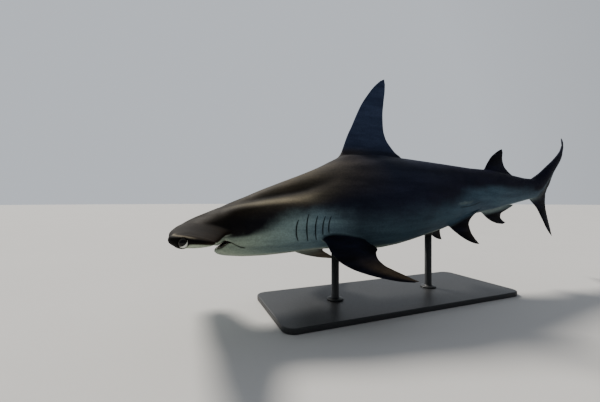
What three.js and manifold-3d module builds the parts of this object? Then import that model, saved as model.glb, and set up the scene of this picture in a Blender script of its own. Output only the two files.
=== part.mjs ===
// A great hammerhead shark, life-size and still, on a low display stand.
// Millimetres, +Z up. The nose points to -X, so the shark's left side faces -Y.
// The origin is at floor level, under the middle of the whole model.
import * as THREE from "three";
import { mergeVertices } from "three/addons/utils/BufferGeometryUtils.js";
import Module from "manifold-3d";

const wasm = await Module();
wasm.setup();

// Driving dimensions. Every size of the animal is a share of this length,
// which is its total length with the upper tail lobe drawn straight back.
const LENGTH = 3500;
const GAP = 0.3;
const NOSE_HEIGHT = 450;
const TRUNK_PITCH = THREE.MathUtils.degToRad(4.8);
const TAIL_BEND_START = 0.7;
const TAIL_SWING = THREE.MathUtils.degToRad(40.2);
const TAIL_DIP = THREE.MathUtils.degToRad(17.1);
const HEAD_ROLL = THREE.MathUtils.degToRad(3.5);
const ROLL_FADE = [0.12, 0.7];

// Where the body is divided, as stations along the spine.
const NECK = 0.15;
const SHOULDER = 0.224;
const LOIN = 0.395;
const VENT = 0.566;
const TAIL_ROOT = 0.7285;

// Reads a table of rows [station, value, value, ...] at a station, along
// smooth curves that never swing past the values between two rows.
function read(table, at) {
  const last = table.length - 1;
  const x = THREE.MathUtils.clamp(at, table[0][0], table[last][0]);
  let i = 0;
  while (i < last - 1 && x > table[i + 1][0]) i++;
  const step = (k) => table[k + 1][0] - table[k][0];
  const slope = (k, c) => (table[k + 1][c] - table[k][c]) / step(k);
  const tangent = (k, c) => {
    if (k === 0) return slope(0, c);
    if (k === last) return slope(last - 1, c);
    const [before, after] = [slope(k - 1, c), slope(k, c)];
    if (before * after <= 0) return 0;
    const near = 2 * step(k) + step(k - 1);
    const far = step(k) + 2 * step(k - 1);
    return (near + far) / (near / before + far / after);
  };
  const t = (x - table[i][0]) / step(i);
  const bend = t * t * (3 - 2 * t);
  return table[i].slice(1).map((value, j) => {
    const c = j + 1;
    const rise = t * (1 - t) * (1 - t) * tangent(i, c);
    const fall = t * t * (t - 1) * tangent(i + 1, c);
    return value + (table[i + 1][c] - value) * bend + (rise + fall) * step(i);
  });
}

// The spine runs straight through the trunk and swings to the right in the
// tail. Each entry is the spine's point and its turn and pitch there. The
// head rolls a little to the right, and the roll fades out along the trunk.
const SPINE_STEPS = 60;
const spine = [];
for (let k = 0, x = 0, y = 0, z = 0; k <= SPINE_STEPS; k++) {
  const share = k / SPINE_STEPS;
  const turn = TAIL_SWING * share ** 1.5;
  const pitch = TRUNK_PITCH - TAIL_DIP * share;
  spine.push({ x, y, z, turn, pitch });
  const stride = (1 - TAIL_BEND_START) / SPINE_STEPS;
  x += Math.cos(pitch) * Math.cos(turn) * stride;
  y += Math.cos(pitch) * Math.sin(turn) * stride;
  z += Math.sin(pitch) * stride;
}

// The frame of the spine at a station: its point and its three directions.
function spineFrame(station) {
  const run = Math.min(station, TAIL_BEND_START);
  const share = Math.max(0, station - TAIL_BEND_START) / (1 - TAIL_BEND_START);
  const k = Math.min(Math.floor(share * SPINE_STEPS), SPINE_STEPS - 1);
  const [a, b, t] = [spine[k], spine[k + 1], share * SPINE_STEPS - k];
  const mix = (name) => a[name] + (b[name] - a[name]) * t;
  const [turn, pitch] = [mix("turn"), mix("pitch")];
  const point = new THREE.Vector3(
    run * Math.cos(TRUNK_PITCH) + mix("x"),
    mix("y"),
    run * Math.sin(TRUNK_PITCH) + mix("z"),
  ).multiplyScalar(LENGTH);
  const back = new THREE.Vector3(
    Math.cos(pitch) * Math.cos(turn),
    Math.cos(pitch) * Math.sin(turn),
    Math.sin(pitch),
  );
  const [from, to] = ROLL_FADE;
  const roll = HEAD_ROLL * THREE.MathUtils.clamp((to - station) / (to - from), 0, 1);
  const left = new THREE.Vector3(Math.sin(turn), -Math.cos(turn), 0).applyAxisAngle(back, -roll);
  const up = new THREE.Vector3().crossVectors(left, back);
  return { point, back, left, up };
}

// A point of the animal: a station along the spine, and how far to the
// left of it and above it, all as shares of LENGTH.
function place(station, side, height) {
  const { point, left, up } = spineFrame(station);
  return point
    .clone()
    .addScaledVector(left, side * LENGTH)
    .addScaledVector(up, height * LENGTH);
}

// A closed geometry as a solid, turned to face outwards if it is mirrored.
function solid(geometry) {
  const bare = geometry.index ? geometry.toNonIndexed() : geometry.clone();
  bare.deleteAttribute("normal");
  bare.deleteAttribute("uv");
  const merged = mergeVertices(bare, 1e-3);
  const vertProperties = merged.attributes.position.array;
  const triVerts = new Uint32Array(merged.index.array);
  const made = new wasm.Manifold(new wasm.Mesh({ numProp: 3, vertProperties, triVerts }));
  if (made.volume() > 0) return made;
  for (let i = 0; i < triVerts.length; i += 3)
    [triVerts[i], triVerts[i + 1]] = [triVerts[i + 1], triVerts[i]];
  return new wasm.Manifold(new wasm.Mesh({ numProp: 3, vertProperties, triVerts }));
}

// The largest closed surface of a solid, without scraps or sealed hollows.
function whole(made) {
  return made.decompose().sort((a, b) => b.volume() - a.volume())[0];
}

// A sphere's grid whose every vertex is put where at(turn, along) says.
function wrapped(around, rows, at) {
  const skin = new THREE.SphereGeometry(1, around, rows);
  const position = skin.attributes.position;
  for (let row = 0, i = 0; row <= rows; row++)
    for (let column = 0; column <= around; column++, i++) {
      const turn = (2 * Math.PI * (column % around)) / around;
      position.setXYZ(i, ...at(turn, row / rows).toArray());
    }
  return solid(skin);
}

// The trunk, from inside the head to inside the upper tail lobe:
// [station, top, bottom, half width, level of the widest line].
const TRUNK = [
  [0.02, -0.003, -0.013, 0.03, -0.008],
  [0.032, 0.0036, -0.0185, 0.054, -0.008],
  [0.0475, 0.0099, -0.0225, 0.0595, -0.0085],
  [0.0632, 0.0147, -0.0275, 0.0555, -0.009],
  [0.072, 0.0175, -0.0385, 0.0515, -0.0095],
  [0.0794, 0.0197, -0.045, 0.0485, -0.01],
  [0.09, 0.0236, -0.0484, 0.0467, -0.01],
  [0.1, 0.0268, -0.0503, 0.0462, -0.01],
  [0.1134, 0.0307, -0.052, 0.047, -0.01],
  [0.136, 0.0382, -0.054, 0.0505, -0.0095],
  [0.165, 0.0469, -0.055, 0.056, -0.0085],
  [0.206, 0.0588, -0.056, 0.062, -0.005],
  [0.235, 0.0682, -0.0585, 0.065, -0.001],
  [0.2613, 0.0785, -0.063, 0.0665, 0.001],
  [0.28, 0.0845, -0.066, 0.067, 0.002],
  [0.325, 0.083, -0.07, 0.0665, 0.003],
  [0.385, 0.0755, -0.0655, 0.062, 0.003],
  [0.4184, 0.0708, -0.061, 0.0565, 0.0035],
  [0.455, 0.0657, -0.056, 0.05, 0.004],
  [0.5, 0.0588, -0.046, 0.0415, 0.005],
  [0.55, 0.0514, -0.0365, 0.034, 0.006],
  [0.595, 0.0465, -0.0345, 0.0285, 0.005],
  [0.64, 0.0385, -0.03, 0.023, 0.0035],
  [0.68, 0.0297, -0.0262, 0.0178, 0.001],
  [0.712, 0.0233, -0.023, 0.0142, -0.0005],
  [0.735, 0.0215, -0.0215, 0.0122, -0.0005],
  [0.76, 0.029, -0.012, 0.01, 0.009],
  [0.79, 0.0465, 0.012, 0.008, 0.029],
  [0.83, 0.0695, 0.044, 0.0058, 0.057],
  [0.88, 0.1, 0.083, 0.0036, 0.0915],
  [0.905, 0.1165, 0.1145, 0.001, 0.1155],
];

// The hollow between the back's ridge and the shoulder muscle: [station, depth].
const SHOULDER_HOLLOW = [
  [0.08, 0],
  [0.125, 0.0042],
  [0.185, 0.0056],
  [0.235, 0.0036],
  [0.285, 0],
];
const HOLLOW_AT = 0.46;
const HOLLOW_WIDTH = 0.2;
const FLANK_FULLNESS = 0.92;

// A point of the trunk's skin; grow lifts it off the skin by millimetres.
function trunkPoint(turn, station, grow) {
  const [top, bottom, half, level] = read(TRUNK, station);
  const [hollow] = read(SHOULDER_HOLLOW, station);
  const [across, upward] = [Math.cos(turn), Math.sin(turn)];
  const extra = grow / LENGTH;
  const side = Math.sign(across) * (half + extra) * Math.abs(across) ** FLANK_FULLNESS;
  const reach = upward > 0 ? top + extra - level : level - bottom + extra;
  let height = level + reach * Math.sign(upward) * Math.abs(upward) ** FLANK_FULLNESS;
  if (upward > 0)
    height -= hollow * Math.exp(-(((Math.abs(across) - HOLLOW_AT) / HOLLOW_WIDTH) ** 2));
  return place(station, side, height);
}

const TRUNK_AROUND = 28;
const TRUNK_ROWS = 46;
const TRUNK_FROM = 0.02;
const TRUNK_TO = 0.905;

// Rows lie closer together in the head than in the tail.
function trunk(grow) {
  return wrapped(TRUNK_AROUND, TRUNK_ROWS, (turn, along) => {
    const station = TRUNK_FROM + (TRUNK_TO - TRUNK_FROM) * along ** 1.15;
    if (along > 0 && along < 1) return trunkPoint(turn, station, grow);
    const [, , , level] = read(TRUNK, station);
    return place(station, 0, level);
  });
}

// The head's wing, by distance to either side:
// [side, front edge, rear edge, thickness, front level, rear level].
// The front edge is notched in the middle and again at each nostril.
const WING = [
  [0, 0.0162, 0.101, 0.027, -0.0078, -0.0125],
  [0.02, 0.015, 0.1, 0.0268, -0.0078, -0.0125],
  [0.04, 0.0146, 0.095, 0.0255, -0.008, -0.013],
  [0.05, 0.0148, 0.0865, 0.0238, -0.0082, -0.0137],
  [0.062, 0.0156, 0.0778, 0.0212, -0.0086, -0.0148],
  [0.08, 0.0158, 0.0705, 0.018, -0.0092, -0.0166],
  [0.096, 0.0172, 0.0645, 0.0154, -0.0099, -0.0182],
  [0.104, 0.0178, 0.0618, 0.0141, -0.0102, -0.0188],
  [0.112, 0.0163, 0.059, 0.0128, -0.0106, -0.0192],
];
const WING_ROUNDS_FROM = 0.112;
const WING_TIP = 0.1232;
const WING_AROUND = 20;
const WING_ROWS = 40;
const WING_NOSE_HEAVY = 0.26;

function headWing() {
  return wrapped(WING_AROUND, WING_ROWS, (turn, along) => {
    const side = -WING_TIP * Math.cos(Math.PI * along);
    const [front, rear, thickness, frontLevel, rearLevel] = read(WING, Math.abs(side));
    const past = Math.max(0, Math.abs(side) - WING_ROUNDS_FROM) / (WING_TIP - WING_ROUNDS_FROM);
    const round = Math.sqrt(Math.max(0, 1 - past * past));
    const fore = Math.cos(turn);
    const share = 0.5 - (fore * round) / 2;
    const bulge = Math.sin(turn) * (1 + WING_NOSE_HEAVY * fore) * round;
    const level = frontLevel + (rearLevel - frontLevel) * share;
    return place(front + (rear - front) * share, side, level + (thickness / 2) * bulge);
  });
}

// A geometry built round the origin, set at a place on the animal with its
// X axis tailward, its Y axis to the animal's right and its Z axis up.
function setAt(geometry, station, side, height) {
  const { back, left, up } = spineFrame(station);
  const turn = new THREE.Matrix4().makeBasis(back, left.clone().negate(), up);
  return solid(geometry.applyMatrix4(turn.setPosition(place(station, side, height))));
}

function ellipsoid([long, wide, deep], around, rows) {
  return new THREE.SphereGeometry(1, around, rows).scale(
    long * LENGTH,
    wide * LENGTH,
    deep * LENGTH,
  );
}

// The eye looks out of the wing's end, from a low mound inside a raised lid.
const EYE = { station: 0.0296, side: 0.1179, height: -0.0144, radius: 0.0051 };
const MOUND = { station: 0.0302, side: 0.1124, height: -0.0145, size: [0.0098, 0.0098, 0.0062] };
const LID = { side: 0.1198, radius: 0.0049, thickness: 0.0011, opening: 0.0044 };

function eyeBall(sign, grow) {
  const ball = new THREE.SphereGeometry(EYE.radius * LENGTH + grow, 16, 10);
  return setAt(ball, EYE.station, sign * EYE.side, EYE.height);
}

// The opening between the lids, cut inwards from beyond the eye.
function eyeOpening(sign) {
  const depth = EYE.radius * 2;
  const bore = new THREE.CylinderGeometry(LID.opening * LENGTH, LID.opening * LENGTH, depth * LENGTH, 20);
  return setAt(bore, EYE.station, sign * (EYE.side + EYE.radius), EYE.height);
}

function eyeMound(sign) {
  const mound = ellipsoid(MOUND.size, 16, 10);
  return setAt(mound, MOUND.station, sign * MOUND.side, MOUND.height);
}

function eyelid(sign) {
  const ring = new THREE.TorusGeometry(LID.radius * LENGTH, LID.thickness * LENGTH, 6, 20);
  return setAt(ring.rotateX(Math.PI / 2), EYE.station, sign * LID.side, EYE.height);
}

// The nostril is a slot in the front edge just inside the eye, and a
// groove runs from it along the edge towards the middle of the head.
const NOSTRIL = { station: 0.0178, side: 0.1035, height: -0.0117, size: [0.004, 0.0062, 0.0019] };
const GROOVE = { station: 0.0158, side: 0.088, height: -0.0112, size: [0.0019, 0.013, 0.0011] };

function nostril(sign) {
  const slot = ellipsoid(NOSTRIL.size, 12, 6);
  return setAt(slot, NOSTRIL.station, sign * NOSTRIL.side, NOSTRIL.height);
}

function nasalGroove(sign) {
  const slot = ellipsoid(GROOVE.size, 8, 8);
  return setAt(slot, GROOVE.station, sign * GROOVE.side, GROOVE.height);
}

// A side-view outline [[station, height], ...] pushed through the animal
// from side to side.
function throughCut(outline, halfWidth) {
  const shape = new THREE.Shape(outline.map(([s, h]) => new THREE.Vector2(s, h)));
  const cut = new THREE.ExtrudeGeometry(shape, { depth: 2 * halfWidth, bevelEnabled: false });
  const position = cut.attributes.position;
  for (let i = 0; i < position.count; i++) {
    const side = position.getZ(i) - halfWidth;
    position.setXYZ(i, ...place(position.getX(i), side, position.getY(i)).toArray());
  }
  return solid(cut);
}

// The mouth hangs a little open. Seen from the side, both lips arch up from
// the front of the mouth and fall again to its corner.
const MOUTH_ROOF = [
  [0.046, -0.0238],
  [0.058, -0.0282],
  [0.0678, -0.0312],
  [0.0728, -0.0284],
  [0.0783, -0.0244],
  [0.084, -0.0262],
  [0.0947, -0.0334],
  [0.105, -0.0372],
];
const JAW_RIM = [
  [0.058, -0.0428],
  [0.0675, -0.0369],
  [0.0751, -0.0338],
  [0.0838, -0.0281],
  [0.089, -0.0306],
  [0.0947, -0.0342],
  [0.105, -0.0376],
];
const JAW_END = 0.105;
const BELOW = -0.09;
const JAW = [
  [0.0665, -0.0375, -0.0395, 0.003, -0.0385],
  [0.0685, -0.034, -0.0418, 0.0125, -0.0385],
  [0.073, -0.028, -0.0442, 0.0205, -0.0365],
  [0.08, -0.022, -0.0464, 0.029, -0.0305],
  [0.09, -0.014, -0.0484, 0.0395, -0.02],
  [0.1, -0.01, -0.0503, 0.0458, -0.0115],
  [0.112, -0.01, -0.0519, 0.0469, -0.01],
];
const JAW_AROUND = 24;
const JAW_ROWS = 12;
const JAW_FROM = 0.0665;
const JAW_TO = 0.112;

function jawMass() {
  return wrapped(JAW_AROUND, JAW_ROWS, (turn, along) => {
    const station = JAW_FROM + (JAW_TO - JAW_FROM) * along ** 1.3;
    const [top, bottom, half, level] = read(JAW, station);
    if (along === 0 || along === 1) return place(station, 0, level);
    const [across, upward] = [Math.cos(turn), Math.sin(turn)];
    const side = Math.sign(across) * half * Math.abs(across) ** FLANK_FULLNESS;
    const reach = upward > 0 ? top - level : level - bottom;
    const height = level + reach * Math.sign(upward) * Math.abs(upward) ** FLANK_FULLNESS;
    return place(station, side, height);
  });
}

// The floor of the mouth is scooped out of the jaw behind its rim.
const SCOOP = { station: 0.0872, height: -0.0318, size: [0.0145, 0.022, 0.0072], tilt: 20 };

function mouthScoop() {
  const bowl = ellipsoid(SCOOP.size, 16, 10).rotateY(THREE.MathUtils.degToRad(SCOOP.tilt));
  return setAt(bowl, SCOOP.station, 0, SCOOP.height);
}

// One row of teeth along the front of a jaw, as small four-sided points.
// The row is an arc round the mouth, and the teeth are shorter where the
// lips come together. up is 1 for the lower jaw and -1 for the upper.
const TEETH = 15;
const TOOTH = { height: 0.0036, radius: 0.0016, sunk: 0.0014, share: 0.42 };

function teeth(front, reach, halfArc, spread, line, up) {
  const row = [];
  for (let k = 0; k < TEETH; k++) {
    const angle = ((k / (TEETH - 1)) * 2 - 1) * halfArc;
    const station = front + reach * (1 - Math.cos(angle));
    const side = spread * Math.sin(angle);
    const gap = read(MOUTH_ROOF, station)[0] - read(JAW_RIM, station)[0];
    const size = Math.min(1, (gap * TOOTH.share) / (TOOTH.height - TOOTH.sunk));
    const tooth = new THREE.ConeGeometry(TOOTH.radius * LENGTH * size, TOOTH.height * LENGTH * size, 4);
    tooth.rotateX((up * Math.PI) / 2).rotateY(up * 0.2);
    const rise = up * (TOOTH.height / 2 - TOOTH.sunk) * size;
    row.push(setAt(tooth, station, side, read(line, station)[0] + rise));
  }
  return row;
}

const lowerTeeth = () => teeth(0.0694, 0.024, 1.1, 0.0245, JAW_RIM, 1);
const upperTeeth = () => teeth(0.0702, 0.024, 1.1, 0.0262, MOUTH_ROOF, -1);

// Gill slits: [station, top, bottom]. Each flap stands a little proud of
// the slit behind it.
const GILLS = [
  [0.1667, -0.0022, -0.0303],
  [0.1805, -0.0032, -0.0322],
  [0.1922, -0.0042, -0.0338],
  [0.2028, -0.0052, -0.035],
  [0.2112, -0.006, -0.036],
];
const GILL = { depth: 0.0045, width: 0.0022, bow: 0.0035, steps: 5, out: 0.004 };

// One slit: a thin wedge bent to the flank, deep at its front edge.
function gillSlit([station, top, bottom], sign) {
  const cut = new THREE.BoxGeometry(1, 1, 1, 1, GILL.steps, 1);
  const position = cut.attributes.position;
  for (let i = 0; i < position.count; i++) {
    const [x, y, z] = [position.getX(i), position.getY(i), position.getZ(i)];
    const height = (top + bottom) / 2 + y * (top - bottom);
    const s = station + GILL.bow * (4 * y * y - 0.5) + x * GILL.width + (0.5 - z) * 0.0014;
    const [roof, floor, half, level] = read(TRUNK, s);
    const reach = height > level ? roof - level : level - floor;
    const upward = Math.min(1, Math.abs(height - level) / reach) ** (1 / FLANK_FULLNESS);
    const skin = half * Math.sqrt(1 - upward * upward) ** FLANK_FULLNESS;
    const fade = 1 - 0.8 * (2 * Math.abs(y)) ** 4;
    const side = z > 0 ? skin + GILL.out : skin - GILL.depth * fade;
    position.setXYZ(i, ...place(s, sign * side, height).toArray());
  }
  return solid(cut);
}

// A fin is a list of chords [leading station, height, trailing station,
// height, thickness] from its root to its tip, then the tip itself.
const FIRST_DORSAL = {
  chords: [
    [0.256, 0.06, 0.352, 0.058, 0.0155],
    [0.2685, 0.0775, 0.377, 0.0705, 0.014],
    [0.2745, 0.0865, 0.393, 0.0762, 0.0118],
    [0.2825, 0.103, 0.3815, 0.0855, 0.0102],
    [0.2905, 0.1185, 0.3712, 0.098, 0.0092],
    [0.2985, 0.1309, 0.3638, 0.1105, 0.0084],
    [0.3085, 0.1478, 0.3606, 0.1275, 0.0074],
    [0.322, 0.169, 0.3618, 0.149, 0.0062],
    [0.3355, 0.185, 0.3662, 0.172, 0.005],
    [0.35, 0.1998, 0.371, 0.192, 0.0038],
    [0.363, 0.2098, 0.3728, 0.2045, 0.0026],
  ],
  tip: [0.3722, 0.2137],
};
const SECOND_DORSAL = {
  chords: [
    [0.582, 0.034, 0.64, 0.026, 0.008],
    [0.5935, 0.0462, 0.656, 0.032, 0.0068],
    [0.5985, 0.0535, 0.6785, 0.0288, 0.0052],
    [0.605, 0.0612, 0.664, 0.039, 0.0045],
    [0.6165, 0.0722, 0.6515, 0.0525, 0.004],
    [0.6325, 0.0812, 0.648, 0.0665, 0.003],
    [0.643, 0.0856, 0.6505, 0.0795, 0.002],
  ],
  tip: [0.6492, 0.0868],
};
const ANAL = {
  chords: [
    [0.568, -0.026, 0.63, -0.02, 0.008],
    [0.58, -0.038, 0.65, -0.0275, 0.0066],
    [0.585, -0.043, 0.675, -0.03, 0.0048],
    [0.59, -0.0475, 0.652, -0.038, 0.0045],
    [0.604, -0.0565, 0.634, -0.044, 0.004],
    [0.622, -0.0635, 0.631, -0.0515, 0.0032],
    [0.637, -0.0662, 0.6385, -0.06, 0.0022],
  ],
  tip: [0.646, -0.0642],
};
const UPPER_TAIL = {
  chords: [
    [0.728, 0.012, 0.742, -0.02, 0.013],
    [0.742, 0.0215, 0.776, -0.026, 0.011],
    [0.758, 0.0295, 0.7885, -0.012, 0.008],
    [0.775, 0.0385, 0.796, -0.001, 0.0068],
    [0.8, 0.053, 0.806, 0.009, 0.006],
    [0.83, 0.069, 0.824, 0.034, 0.0052],
    [0.862, 0.0875, 0.852, 0.062, 0.0045],
    [0.895, 0.1095, 0.888, 0.091, 0.0038],
    [0.92, 0.13, 0.917, 0.116, 0.0034],
    [0.933, 0.1395, 0.9265, 0.124, 0.003],
    [0.945, 0.149, 0.948, 0.133, 0.0024],
    [0.951, 0.153, 0.953, 0.147, 0.0016],
  ],
  tip: [0.9545, 0.1535],
};
const LOWER_TAIL = {
  chords: [
    [0.7285, -0.006, 0.788, 0.004, 0.0105],
    [0.731, -0.0235, 0.7885, -0.0125, 0.0085],
    [0.74, -0.032, 0.787, -0.03, 0.0065],
    [0.754, -0.0435, 0.7895, -0.043, 0.0055],
    [0.77, -0.062, 0.796, -0.059, 0.0045],
    [0.782, -0.075, 0.803, -0.072, 0.0036],
    [0.793, -0.087, 0.811, -0.085, 0.003],
    [0.809, -0.099, 0.818, -0.0965, 0.0022],
  ],
  tip: [0.8262, -0.1085],
};

// Paired fins lie in a plane that leaves the body at a root line and falls
// away at a droop, so their second and fourth numbers are reach outwards.
const PECTORAL = {
  chords: [
    [0.205, -0.014, 0.268, -0.012, 0.015],
    [0.2045, 0.006, 0.276, 0, 0.013],
    [0.202, 0.024, 0.282, 0.01, 0.0105],
    [0.204, 0.04, 0.272, 0.023, 0.009],
    [0.2135, 0.053, 0.2675, 0.036, 0.0075],
    [0.229, 0.062, 0.27, 0.046, 0.006],
    [0.252, 0.0695, 0.2785, 0.054, 0.0046],
    [0.277, 0.074, 0.291, 0.063, 0.0032],
    [0.296, 0.0748, 0.3, 0.07, 0.002],
  ],
  tip: [0.306, 0.0728],
  root: { station: 0.206, side: 0.056, height: -0.0385, fall: -0.2, inward: 0.02 },
  droop: THREE.MathUtils.degToRad(32),
  curl: 0.6,
};
const PELVIC = {
  chords: [
    [0.452, -0.012, 0.515, -0.016, 0.0085],
    [0.459, 0, 0.522, -0.004, 0.0075],
    [0.465, 0.009, 0.562, -0.009, 0.0055],
    [0.472, 0.018, 0.526, 0, 0.0045],
    [0.485, 0.032, 0.508, 0.014, 0.0038],
    [0.499, 0.043, 0.507, 0.027, 0.003],
    [0.509, 0.0485, 0.511, 0.04, 0.0022],
  ],
  tip: [0.517, 0.0512],
  root: { station: 0.459, side: 0.027, height: -0.044, fall: 0.12, inward: 0.02 },
  droop: THREE.MathUtils.degToRad(72),
  curl: 0,
};

const FIN_AROUND = 10;
const CHORD_STEPS = 2;
const FIN_NOSE_HEAVY = 0.34;

// sign is 0 for a fin on the midline, and 1 or -1 for a left or right one.
function fin(design, sign, grow) {
  const chords = design.chords.map((row, k) => [k, ...row]);
  const last = chords.length - 1;
  const rows = last * CHORD_STEPS + 2;
  const extra = grow / LENGTH;
  const at = (station, reach, off) => {
    if (!sign) return place(station, off, reach);
    const { root, droop, curl } = design;
    const run = station - root.station;
    const angle = droop + curl * Math.max(0, reach);
    const side = root.side - root.inward * run + reach * Math.cos(angle) + off * Math.sin(angle);
    const height = root.height + root.fall * run - reach * Math.sin(angle) + off * Math.cos(angle);
    return place(station, sign * side, height);
  };
  return wrapped(FIN_AROUND, rows, (turn, along) => {
    const k = Math.min(Math.max(along * rows - 1, 0) / CHORD_STEPS, last);
    const [leadS, leadH, trailS, trailH, thickness] = read(chords, k);
    if (along === 1) return at(...design.tip, 0);
    if (along === 0) return at((leadS + trailS) / 2, (leadH + trailH) / 2, 0);
    const [dx, dy] = [trailS - leadS, trailH - leadH];
    const stretch = 1 + (2 * extra) / Math.hypot(dx, dy);
    const fore = Math.cos(turn);
    const share = 0.5 - (fore * stretch) / 2;
    const off = Math.sin(turn) * (1 + FIN_NOSE_HEAVY * fore) * (thickness / 2 + extra);
    return at(leadS + dx * share, leadH + dy * share, off);
  });
}

// Everything between two stations of the spine, ready to cut the trunk.
const CUTTER_SIDE = 1600;

function slice(from, to) {
  const [a, b] = [spineFrame(from), spineFrame(to)];
  const length = a.point.distanceTo(b.point) - GAP;
  const box = new THREE.BoxGeometry(length, CUTTER_SIDE, CUTTER_SIDE);
  const middle = a.point.clone().lerp(b.point, 0.5);
  const back = b.point.clone().sub(a.point).normalize();
  const left = new THREE.Vector3(back.y, -back.x, 0).normalize();
  const up = new THREE.Vector3().crossVectors(left, back);
  const turn = new THREE.Matrix4().makeBasis(back, left.negate(), up).setPosition(middle);
  return solid(box.applyMatrix4(turn));
}

// The display stand: a flat base and two rods into the belly.
const BASE = { station: 0.36, long: 1500, wide: 560, thick: 28, corner: 60, edge: 5 };
const RODS = [
  ["stand_rod_front", 0.255],
  ["stand_rod_rear", 0.445],
];
const ROD = { radius: 21, collarRadius: 46, collarHeight: 14, sides: 16, sunk: 90 };

function standBase() {
  const [x, y, r] = [BASE.long / 2 - BASE.edge, BASE.wide / 2 - BASE.edge, BASE.corner];
  const outline = new THREE.Shape();
  outline.moveTo(r - x, -y).lineTo(x - r, -y);
  outline.absarc(x - r, r - y, r, -Math.PI / 2, 0).lineTo(x, y - r);
  outline.absarc(x - r, y - r, r, 0, Math.PI / 2).lineTo(r - x, y);
  outline.absarc(r - x, y - r, r, Math.PI / 2, Math.PI).lineTo(-x, r - y);
  outline.absarc(r - x, r - y, r, Math.PI, 1.5 * Math.PI);
  const plate = new THREE.ExtrudeGeometry(outline, {
    depth: BASE.thick - 2 * BASE.edge,
    bevelThickness: BASE.edge,
    bevelSize: BASE.edge,
    bevelSegments: 1,
    curveSegments: 5,
  });
  const { x: middle } = spineFrame(BASE.station).point;
  return solid(plate.translate(middle, 0, BASE.edge - NOSE_HEIGHT));
}

// A rod with a flared collar at its foot; its top is cut to the belly.
function standRod(station, belly) {
  const foot = BASE.thick + GAP - NOSE_HEIGHT;
  const top = place(station, 0, read(TRUNK, station)[1]).z + ROD.sunk;
  const profile = [
    [0, 0],
    [ROD.collarRadius, 0],
    [ROD.collarRadius, ROD.collarHeight * 0.6],
    [ROD.collarRadius - 5, ROD.collarHeight],
    [ROD.radius, ROD.collarHeight],
    [ROD.radius, top - foot],
    [0, top - foot],
  ].map(([r, z]) => new THREE.Vector2(r, z));
  const rod = new THREE.LatheGeometry(profile, ROD.sides).rotateX(Math.PI / 2);
  rod.translate(spineFrame(station).point.x, 0, foot);
  return whole(solid(rod).subtract(belly));
}

// The pits just ahead of the tail lobes, above and below: [station, height].
const PITS = [
  [0.7225, 0.0245],
  [0.7225, -0.0248],
];
const precaudalPit = ([station, height]) =>
  setAt(ellipsoid([0.0045, 0.007, 0.0038], 10, 6), station, 0, height);

const joined = (first, ...rest) => rest.reduce((all, one) => all.add(one), first);
const cutBy = (made, ...cuts) => cuts.reduce((left, cut) => left.subtract(cut), made);
const bothSides = (make) => [1, -1].map(make);

// The finished pieces, by name.
function pieces() {
  const body = trunk(0);
  const clear = trunk(GAP);
  const made = new Map();

  const jawBay = throughCut([...MOUTH_ROOF, [JAW_END, BELOW], [0.046, BELOW]], 0.1);
  const skull = joined(
    body.intersect(slice(0, NECK)),
    headWing(),
    ...bothSides(eyeMound),
    ...bothSides(eyelid),
  );
  const head = joined(skull.subtract(jawBay), ...upperTeeth());
  const sockets = [...bothSides((sign) => eyeBall(sign, GAP)), ...bothSides(eyeOpening)];
  const nose = [...bothSides(nostril), ...bothSides(nasalGroove)];
  made.set("head", cutBy(head, ...sockets, ...nose));
  made.set("eye_left", eyeBall(1, 0));
  made.set("eye_right", eyeBall(-1, 0));

  const seam = JAW_END - GAP / LENGTH;
  const rim = JAW_RIM.map(([station, height]) => [Math.min(station, seam), height]);
  const jawBlock = throughCut([...rim, [seam, BELOW], [JAW_RIM[0][0], BELOW]], 0.1);
  const jaw = jawMass().intersect(jawBlock).subtract(mouthScoop());
  made.set("lower_jaw", joined(jaw, ...lowerTeeth()));

  const slits = GILLS.flatMap((row) => bothSides((sign) => gillSlit(row, sign)));
  made.set("gill_region", cutBy(body.intersect(slice(NECK, SHOULDER)), ...slits));
  made.set("trunk_front", body.intersect(slice(SHOULDER, LOIN)));
  made.set("trunk_rear", body.intersect(slice(LOIN, VENT)));
  made.set("tail_stalk", cutBy(body.intersect(slice(VENT, TAIL_ROOT)), ...PITS.map(precaudalPit)));

  const tailBase = body.intersect(slice(TAIL_ROOT, 0.99));
  const stalkClear = clear.intersect(slice(VENT, TAIL_ROOT + 2 * (GAP / LENGTH)));
  const upper = cutBy(joined(tailBase, fin(UPPER_TAIL, 0, 0)), stalkClear);
  made.set("tail_upper_lobe", upper);
  made.set("tail_lower_lobe", cutBy(fin(LOWER_TAIL, 0, 0), clear, fin(UPPER_TAIL, 0, GAP)));

  made.set("dorsal_fin_first", fin(FIRST_DORSAL, 0, 0).subtract(clear));
  made.set("dorsal_fin_second", fin(SECOND_DORSAL, 0, 0).subtract(clear));
  made.set("anal_fin", fin(ANAL, 0, 0).subtract(clear));
  for (const [word, sign] of [
    ["left", 1],
    ["right", -1],
  ]) {
    made.set("pectoral_fin_" + word, fin(PECTORAL, sign, 0).subtract(clear));
    made.set("pelvic_fin_" + word, fin(PELVIC, sign, 0).subtract(clear));
  }

  made.set("stand_base", standBase());
  for (const [name, station] of RODS) made.set(name, standRod(station, clear));
  return made;
}

// Colours and finishes.
const finish = (color, roughness, metalness = 0) =>
  new THREE.MeshStandardMaterial({ color, roughness, metalness });
const SKIN = finish(0x4a4f55, 0.5);
const FIN_SKIN = finish(0x2b2a2c, 0.5);
const PALE_SKIN = finish(0x8f9f98, 0.5);
const EYE_FINISH = finish(0x0c0b0c, 0.12);
const STAND_FINISH = finish(0x2c2e31, 0.4, 0.6);

function finishOf(name) {
  if (name.startsWith("stand_")) return STAND_FINISH;
  if (name.startsWith("eye_")) return EYE_FINISH;
  if (name === "lower_jaw") return PALE_SKIN;
  return /fin|lobe/.test(name) ? FIN_SKIN : SKIN;
}

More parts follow.
